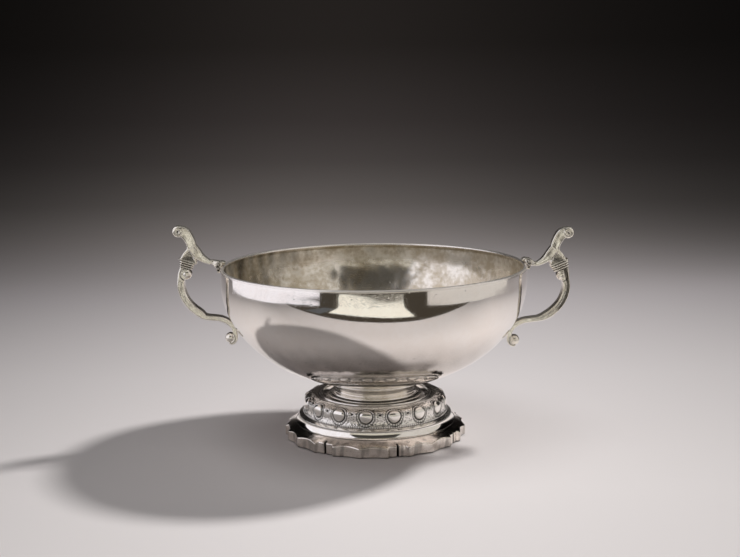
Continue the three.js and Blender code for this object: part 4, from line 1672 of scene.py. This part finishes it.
    def build_upper(self) -> None:
        """Builds the arm from the lug, the stem that rolls over outwards and the flare on the knop."""
        start = self.joint[0] + self.seam
        joint_z = self.joint[1]
        face = self.knop_height / 2 + self.seam
        knop_x = self.middle[0]
        stem = smooth_line([
            (*self.along_knop(face), self.flare_width, self.depth),
            (*self.along_knop(face + 0.5), self.flare_width * 0.94, self.depth * 0.96),
            (knop_x - 0.9, self.stem_z(0.26), self.stem_width + 1.2, self.depth * 0.78),
            (knop_x - 2.2, self.stem_z(0.43), self.stem_width - 0.4, self.depth * 0.7),
            (knop_x - 2.5, self.stem_z(0.57), self.stem_width - 0.2, self.depth * 0.72),
            (knop_x - 1.5, self.stem_z(0.76), self.stem_width, self.depth * 0.8),
            (self.finial[0] - 2.6, self.finial[1] - 0.5, self.stem_width + 0.5, self.depth * 0.9),
            (self.finial[0], self.finial[1] + 0.1, self.stem_width + 0.4, self.depth * 0.9),
        ], 90)
        arm = smooth_line([
            (start, joint_z, self.joint_height, self.depth * 0.62),
            (start + 0.6, joint_z, self.joint_height, self.depth * 0.64),
            (start + 2.4, joint_z + 0.8, self.joint_height * 1.3, self.depth * 0.7),
            (start + 4.4, joint_z + 2.1, self.joint_height * 1.7, self.depth * 0.76),
            (start + 6.4, joint_z + 3.9, self.stem_width, self.depth * 0.8),
            (knop_x - 2.8, self.stem_z(0.52), self.stem_width, self.depth * 0.74),
        ], 60)
        roll = disc(*self.finial, self.finial_radius, self.depth)
        shells = [strap(stem, 0.1), strap(arm, 0.1), roll]
        self.cast("upper_casting", shells, "thumb_scroll", self.carve_upper)

    def build_knop(self) -> None:
        """Builds the leaning collar of three fillets with deep grooves between them.

        Its plan is a superellipse of power 6, |x|^6 + |y|^6 = 1 in units of its half width and half depth,
        so the fillets run straight across the front.
        """
        power = 6
        columns = 120
        fillet = self.knop_height / 3
        edge = fillet * 0.32
        width = self.knop_width / 2
        half = self.knop_height / 2
        rings = [
            arc((width * (1 + 0.06 * place) - edge, place * fillet), (edge, edge), -88, 88, 10)
            for place in (-1, 0, 1)
        ]
        grooves = [np.array([[width - fillet, (place + 0.5) * fillet]]) for place in (-1, 0)]
        outline = np.vstack([[(0, -half)], rings[0], grooves[0], rings[1], grooves[1], rings[2], [(0, half)]])
        profile = evenly(outline, 0.12)
        azimuth = np.arange(columns) * 2 * np.pi / columns
        square = (np.abs(np.sin(azimuth)) ** power + np.abs(np.cos(azimuth)) ** power) ** (-1 / power)
        plan = np.stack([square, square * self.knop_depth / self.knop_width, np.ones(columns)], axis=-1)
        grid = turned(profile, columns, closed=False) * plan
        cosine, sine = np.cos(self.tilt), np.sin(self.tilt)
        lean = np.array([[cosine, 0, -sine], [0, 1, 0], [sine, 0, cosine]])
        mirror = np.diag([self.side.value, 1.0, 1.0])
        middle = np.array([self.middle[0], 0, self.middle[1]])
        shell = Shell.from_grid(grid, closed=False).placed(lean, middle)
        # Painted shade in the grooves between the fillets.
        dark = 1 - ramp(profile[:, :1], width - fillet * 0.6, width - fillet * 0.3)
        masks = {Mask.GRIME: np.broadcast_to(dark, grid.shape[:2])}
        piece = make_mesh(f"{self.label}_collar", [shell.placed(mirror, np.zeros(3))], masks)
        seat(piece, CAST, f"{self.label}_knop")

    def lower_line(self) -> np.ndarray:
        """Draws the line of the lower scroll, from the knop round to the curl.

        Returns:
            Rows of (x, z, thickness in the plane, depth across it).
        """
        face = -self.knop_height / 2 - self.seam
        top = self.along_knop(face)[1]
        fall = top - self.low_z
        curl = self.curl
        wrap = self.curl_radius
        arm_x = self.contact_x + 15
        thick, arm = self.scroll_thickness, self.arm_thickness
        return smooth_line([
            (*self.along_knop(face, 0.5), self.knop_width * 0.7, self.depth * 0.9),
            (*self.along_knop(face - 0.5, 0.5), self.knop_width * 0.66, self.depth * 0.9),
            (self.outer_x - 1.0, top - fall * 0.13, thick * 1.3, self.depth * 0.9),
            (self.outer_x - 0.2, top - fall * 0.24, thick, self.depth),
            (self.outer_x, top - fall * 0.37, thick, self.depth),
            (self.outer_x - 0.8, top - fall * 0.52, thick, self.depth),
            (self.outer_x - 2.5, top - fall * 0.67, thick, self.depth),
            (self.outer_x - 5.1, top - fall * 0.8, thick, self.depth),
            (self.outer_x - 8.7, top - fall * 0.92, thick, self.depth),
            (arm_x, self.low_z + 0.2, arm + 0.2, self.depth),
            (arm_x - 3.6, self.low_z - 0.3, arm, self.depth),
            (arm_x - 7.2, self.low_z - 0.8, arm, self.depth * 0.95),
            (self.contact_x + 4.1, self.contact_z + 1.9, arm, self.depth * 0.9),
            (self.contact_x + 1.6, self.contact_z - 0.9, arm, self.depth * 0.9),
            (curl[0] - wrap, curl[1] + 1.0, arm * 0.9, self.depth * 0.94),
            (curl[0] - wrap * 0.87, curl[1] - wrap * 0.5, arm * 0.8, self.depth * 0.96),
            (curl[0] - wrap * 0.34, curl[1] - wrap * 0.94, arm * 0.6, self.depth * 0.94),
            (curl[0] + wrap * 0.2, curl[1] - wrap * 0.9, arm * 0.3, self.depth * 0.9),
        ], 200)

    def carve_lower(self, points: np.ndarray, flat: np.ndarray) -> Carving:
        """Paints shade on the outer half of the strap and into the corners round the two balls.

        Args:
            points: Points of a right handle.
            flat: How much each lies on a flat side.

        Returns:
            The carving.
        """
        beside = beside_line(points, self.lower_line()[::3])
        high = ramp(points[:, 2], self.low_z + 2.5, self.low_z + 4.0)
        out = ramp(points[:, 0], self.outer_x - 4.5, self.outer_x - 3.5)
        half = ramp(beside, -0.05, 0.08) * (1 - ramp(beside, 0.72, 0.85))
        # Painted shade on the outer half of the face, standing in for the dark that it reflects, and in the
        # ball corners.
        painted_face_shade = self.painted_face_shade * half * high * out * flat
        curl = np.hypot(points[:, 0] - self.curl[0], points[:, 2] - self.curl[1]) - self.curl_radius
        volute = np.hypot(points[:, 0] - self.volute[0], points[:, 2] - self.volute[1]) - self.volute_radius
        corners = 0.7 * ridge(curl + 0.1, 0.2) * (points[:, 0] < self.curl[0]) + ridge(volute - 0.1, 0.2)
        return Carving(0.12 * painted_face_shade + 0.1 * corners, 0.85 * painted_face_shade + 0.8 * corners)

    def build_lower(self) -> None:
        """Builds the scroll from the knop, its two balls and the arm back to the bowl's side."""
        shells = [
            strap(self.lower_line(), 0.04),
            disc(*self.volute, self.volute_radius, self.depth * 0.96, softness=0.9),
            disc(*self.curl, self.curl_radius - 0.2, self.depth * 1.05, softness=0.9),
        ]
        self.cast("lower_scroll", shells, "c_scroll", self.carve_lower)

    def build(self) -> None:
        """Builds the handle's four pieces."""
        self.build_lug()
        self.build_upper()
        self.build_knop()
        self.build_lower()


# The studio


def towards_cup(place: Triple) -> tuple[np.ndarray, np.ndarray, np.ndarray]:
    """Works out the directions of something that faces the cup.

    Args:
        place: Where it is, in millimetres.

    Returns:
        The unit vectors to its side, up, and away from the cup.
    """
    away = np.array(place) / np.linalg.norm(place)
    side = np.cross([0, 0, 1], away)
    side /= np.linalg.norm(side)
    return side, np.cross(away, side), away


@dataclass(frozen=True)
class Card:
    """A painted reflection, a glowing strip between two lines of points that only reflections see."""

    name: str
    lines: np.ndarray
    colour: Triple

    @classmethod
    def standing(cls, name: str, path: list[Pair], height: float, colour: Triple) -> "Card":
        """Makes an upright panel along a path on the floor."""
        foot = np.column_stack([np.array(path, float), np.zeros(len(path))])
        return cls(name, np.stack([foot, foot + [0, 0, height]]), colour)

    @classmethod
    def lying(
        cls, name: str, edge: list[Pair], far_y: float, far_x: Pair, level: float, colour: Triple
    ) -> "Card":
        """Makes a flat panel between an edge and a straight line in front of it.

        Args:
            name: Name of the panel.
            edge: Rows of (x, y) along its edge.
            far_y: Where the straight line is.
            far_x: The straight line's two ends.
            level: Height of the panel.
            colour: What it shines with.

        Returns:
            The panel.
        """
        near = np.column_stack([np.array(edge, float), np.full(len(edge), level)])
        share = (near[:, 0] - near[0, 0]) / (near[-1, 0] - near[0, 0])
        far = near.copy()
        far[:, 0] = far_x[0] + (far_x[1] - far_x[0]) * share
        far[:, 1] = far_y
        return cls(name, np.stack([near, far]), colour)

    @classmethod
    def facing(cls, name: str, place: Triple, size: float, colour: Triple) -> "Card":
        """Makes a square panel at a place, turned to the cup.

        Args:
            name: Name of the panel.
            place: Its middle.
            size: Its side.
            colour: What it shines with.

        Returns:
            The panel.
        """
        side, up, _ = towards_cup(place)
        lower = np.array(place) + size / 2 * (np.array([[-1], [1]]) * side - up)
        return cls(name, np.stack([lower, lower + size * up]), colour)

    def build(self) -> None:
        """Builds the panel, which casts no light and no shadow and which the camera doesn't see."""
        panel = open_sheet(self.name, self.lines)
        material, graph, _ = new_material(self.name)
        glow = graph.add("ShaderNodeEmission", {"Color": (*self.colour, 1.0)})
        graph.link(glow.outputs[0], material.node_tree.nodes["Material Output"], "Surface")
        panel.data.materials.append(material)
        for ray in ("camera", "diffuse", "shadow", "transmission", "volume_scatter"):
            setattr(panel, f"visible_{ray}", False)


@dataclass(frozen=True)
class Lamp:
    """A soft round lamp that points at the cup. Its power is in watts."""

    name: str
    place: Triple
    size: float
    power: float
    reflected: bool

    def build(self) -> None:
        """Builds the lamp."""
        data = bpy.data.lights.new(self.name, "AREA")
        data.shape = "DISK"
        data.size = self.size * MM
        data.energy = self.power
        data.color = (1.0, 0.985, 0.96)
        lamp = new_object(self.name, data)
        lamp.location = np.array(self.place) * MM
        lamp.rotation_euler = Matrix(np.column_stack(towards_cup(self.place)).tolist()).to_euler()
        lamp.visible_glossy = self.reflected


@dataclass
class Studio:
    """A pale floor that sweeps up into a darker backdrop, soft lamps, and the photograph's camera."""

    floor_front: float = -3000.0
    sweep_start: float = 450.0
    sweep_radius: float = 600.0
    backdrop_height: float = 3000.0
    half_width: float = 4000.0
    shade_start: float = -200.0
    shade_end: float = 1800.0
    # Colours along the sweep: painted light falloff, pale in front and dark behind.
    painted_falloff_shades: tuple[tuple[float, Triple], ...] = (
        (0.057, (0.86, 0.82, 0.825)),
        (0.156, (0.72, 0.685, 0.695)),
        (0.278, (0.48, 0.45, 0.465)),
        (0.40, (0.228, 0.208, 0.205)),
        (0.453, (0.125, 0.113, 0.109)),
        (0.51, (0.068, 0.060, 0.058)),
        (0.562, (0.044, 0.0375, 0.0365)),
        (0.65, (0.0225, 0.019, 0.0175)),
    )
    camera_place: Triple = (-1.766, -585.32, 174.72)
    camera_pitch: float = 0.1676
    camera_roll: float = -0.0118
    focal_share: float = 1246.26 / 740
    near_width: float = 470.0
    far_width: float = 330.0
    far_middle: float = -70.0
    front_sheen: float = 0.80
    back_sheen: float = 1.18
    softbox: Triple = (1381.0, 891.0, 1748.0)

    def build_floor(self) -> None:
        """Builds the floor and backdrop as one sweep, darkened along its length by painted light falloff."""
        wall = self.sweep_start + self.sweep_radius
        quarter = np.linspace(0, np.pi / 2, 25)[1:-1]
        bend = np.column_stack([np.sin(quarter), 1 - np.cos(quarter)]) * self.sweep_radius
        path = np.vstack([
            np.column_stack([np.linspace(self.floor_front, self.sweep_start, 12), np.zeros(12)]),
            bend + [self.sweep_start, 0],
            np.column_stack([np.full(10, wall), np.linspace(self.sweep_radius, self.backdrop_height, 10)]),
        ])
        across = np.linspace(-self.half_width, self.half_width, 9)
        grid = np.empty((len(path), len(across), 3))
        grid[..., 0] = across
        grid[..., 1:] = path[:, None, :]
        floor = open_sheet("sweep", grid)
        floor.data.shade_smooth()
        floor.data.materials.append(self.paper())

    def paper(self) -> bpy.types.Material:
        """Builds the sweep's paper with painted light falloff: pale in front, darker behind and to the sides.

        To the sides the painted falloff darkens it by (1 + ((x - middle) / width)^2)^-1.5. Its painted
        sheen, which only reflections show, makes it darker towards the viewer and brighter from the cup's
        middle backwards.

        Returns:
            The material.
        """
        material, graph, shader = new_material("paper_with_painted_falloff")
        shader.inputs["Roughness"].default_value = 0.9
        shader.inputs["Specular IOR Level"].default_value = 0.1
        parts = graph.add("ShaderNodeSeparateXYZ", {0: graph.millimetres()})
        length = graph.math("ADD", parts.outputs["Y"], parts.outputs["Z"])
        ends = {"Value": length, "From Min": self.shade_start, "From Max": self.shade_end}
        share = graph.add("ShaderNodeMapRange", ends).outputs["Result"]
        shades = graph.add("ShaderNodeValToRGB", {"Fac": share})
        stops = shades.color_ramp.elements
        for _ in self.painted_falloff_shades[2:]:
            stops.new(0.5)
        for stop, (at, colour) in zip(stops, self.painted_falloff_shades):
            stop.position = at
            stop.color = (*colour, 1.0)
        far = graph.between(length, 350.0, 700.0)
        middle = graph.math("MULTIPLY", far, self.far_middle)
        width = graph.math("MULTIPLY_ADD", far, self.far_width - self.near_width, self.near_width)
        offset = graph.math("DIVIDE", graph.math("SUBTRACT", parts.outputs["X"], middle), width)
        falloff = graph.math("POWER", graph.math("MULTIPLY_ADD", offset, offset, 1.0), -1.5)
        colour = graph.mix(falloff, (0.0, 0.0, 0.0, 1.0), shades.outputs["Color"])
        # Painted sheen: reflections see the paper darker in front and brighter behind.
        mirrored = graph.add("ShaderNodeLightPath").outputs["Is Glossy Ray"]
        backwards = graph.between(parts.outputs["Y"], -130.0, 0.0)
        sheen = graph.math("MULTIPLY_ADD", backwards, self.back_sheen - self.front_sheen, self.front_sheen)
        strength = graph.math("MULTIPLY_ADD", mirrored, graph.math("SUBTRACT", sheen, 1.0), 1.0)
        scaled = graph.add("ShaderNodeVectorMath", {0: colour, "Scale": strength}, operation="SCALE")
        graph.link(scaled.outputs[0], shader, "Base Color")
        return material

    def build_cards(self) -> None:
        """Builds the painted reflections: the room beyond the table's edge and its bright panels."""
        table_edge = [
            (-2500, -250), (-399, -217), (-248, -209), (-121, -194), (0, -181), (95, -166), (236, -165),
            (386, -161), (2500, -161),
        ]
        low_edge = [(-141, -252), (-66, -242), (-8, -226), (43, -211), (95, -203)]
        dim_edge = [(-235, -225), (-150, -215)]
        left_path = [
            (-276, -377), (-340, -310), (-403, -219), (-440, -100), (-448, 0), (-442, 136), (-415, 240),
        ]
        right_path = [(263, -369), (323, -262), (395, -165), (438, -59), (459, 35), (456, 143)]
        front_path = [(-1000, -1000), (1000, -1000)]
        ceiling_edge = [(-900, 500), (900, 500)]
        # Glowing cards only for reflections: painted reflections of the dark room and its bright panels.
        cards = (
            Card.lying("room_floor", table_edge, -2900, (-2500, 2500), 1, (0.052, 0.044, 0.034)),
            Card.lying("low_card", low_edge, -477, (-198, 164), 2, (0.88, 0.86, 0.77)),
            Card.lying("dim_card", dim_edge, -360, (-235, -175), 2, (0.095, 0.10, 0.105)),
            Card.standing("left_panel", left_path, 950, (0.92, 0.90, 0.96)),
            Card.standing("right_panel", right_path, 950, (0.60, 0.57, 0.54)),
            Card.lying("ceiling", ceiling_edge, -900, (-900, 900), 1400, (0.30, 0.29, 0.275)),
            Card.standing("front_panel", front_path, 300, (0.60, 0.57, 0.50)),
            # A glowing card in the softbox's place, which reflections see instead of the lamp: a painted
            # highlight.
            Card.facing("softbox_face", self.softbox, 270, (3.0, 2.95, 2.85)),
        )
        for card in cards:
            card.build()

    def build_world(self) -> None:
        """Builds the room's plain ambient light."""
        world = bpy.data.worlds.new("room")
        world.use_nodes = True
        graph = Graph(world.node_tree)
        ways = graph.add("ShaderNodeLightPath")
        ambient, mirrored, seen = (0.16, 0.156, 0.158, 1.0), (0.05, 0.047, 0.042, 1.0), (0.2, 0.19, 0.19, 1.0)
        colour = graph.mix(ways.outputs["Is Glossy Ray"], ambient, mirrored)
        colour = graph.mix(ways.outputs["Is Camera Ray"], colour, seen)
        graph.link(colour, world.node_tree.nodes["Background"], "Color")
        bpy.context.scene.world = world

    def build_camera(self) -> None:
        """Builds the camera at the photograph's place, looking slightly down."""
        data = bpy.data.cameras.new("camera")
        data.sensor_width = 36.0
        data.lens = self.focal_share * data.sensor_width
        data.clip_start = 0.01
        camera = new_object("camera", data)
        forward = np.array([0, np.cos(self.camera_pitch), -np.sin(self.camera_pitch)])
        level_up = np.array([0, np.sin(self.camera_pitch), np.cos(self.camera_pitch)])
        level_right = np.array([1.0, 0, 0])
        cosine, sine = np.cos(self.camera_roll), np.sin(self.camera_roll)
        right = cosine * level_right + sine * level_up
        up = cosine * level_up - sine * level_right
        matrix = np.eye(4)
        matrix[:3, :3] = np.column_stack([right, up, -forward])
        matrix[:3, 3] = np.array(self.camera_place) * MM
        camera.matrix_world = Matrix(matrix.tolist())
        bpy.context.scene.camera = camera

    def build(self) -> None:
        """Builds the studio."""
        bpy.context.scene.view_settings.view_transform = "Standard"
        self.build_camera()
        self.build_floor()
        self.build_cards()
        Lamp("softbox", self.softbox, size=300.0, power=46.0, reflected=False).build()
        Lamp("overhead", (-250.0, -100.0, 1500.0), size=1000.0, power=4.5, reflected=True).build()
        self.build_world()


def main() -> None:
    """Builds the studio and the cup."""
    logging.basicConfig(level=logging.INFO, format="%(name)s: %(message)s")
    Studio().build()
    build_tarnish_group()
    build_wear_group()
    build_shade_and_grime_group()
    for finish in (RAISED, FOOT, CHASED, BAND, CAST):
        finish.build()
    bowl = Bowl()
    bowl.build()
    Neck().build(bowl)
    drum = FriezeRing()
    drum.build()
    flare = Flare(top=(drum.ledge_radius, node_box("frieze_ring")[0][2] - 0.15))
    FootSkirt(flare).build()
    BaseBand(flare).build()
    left = Handle(Side.LEFT, bowl, lift=1.3, knop_tilt=17.0, painted_face_shade=0.1, knop_width=6.8, scroll_reach=20.9)
    right = Handle(Side.RIGHT, bowl, lift=-1.3, knop_tilt=22.0, painted_face_shade=1.0, scroll_reach=20.8)
    left.build()
    right.build()


if __name__ == "__main__":
    main()
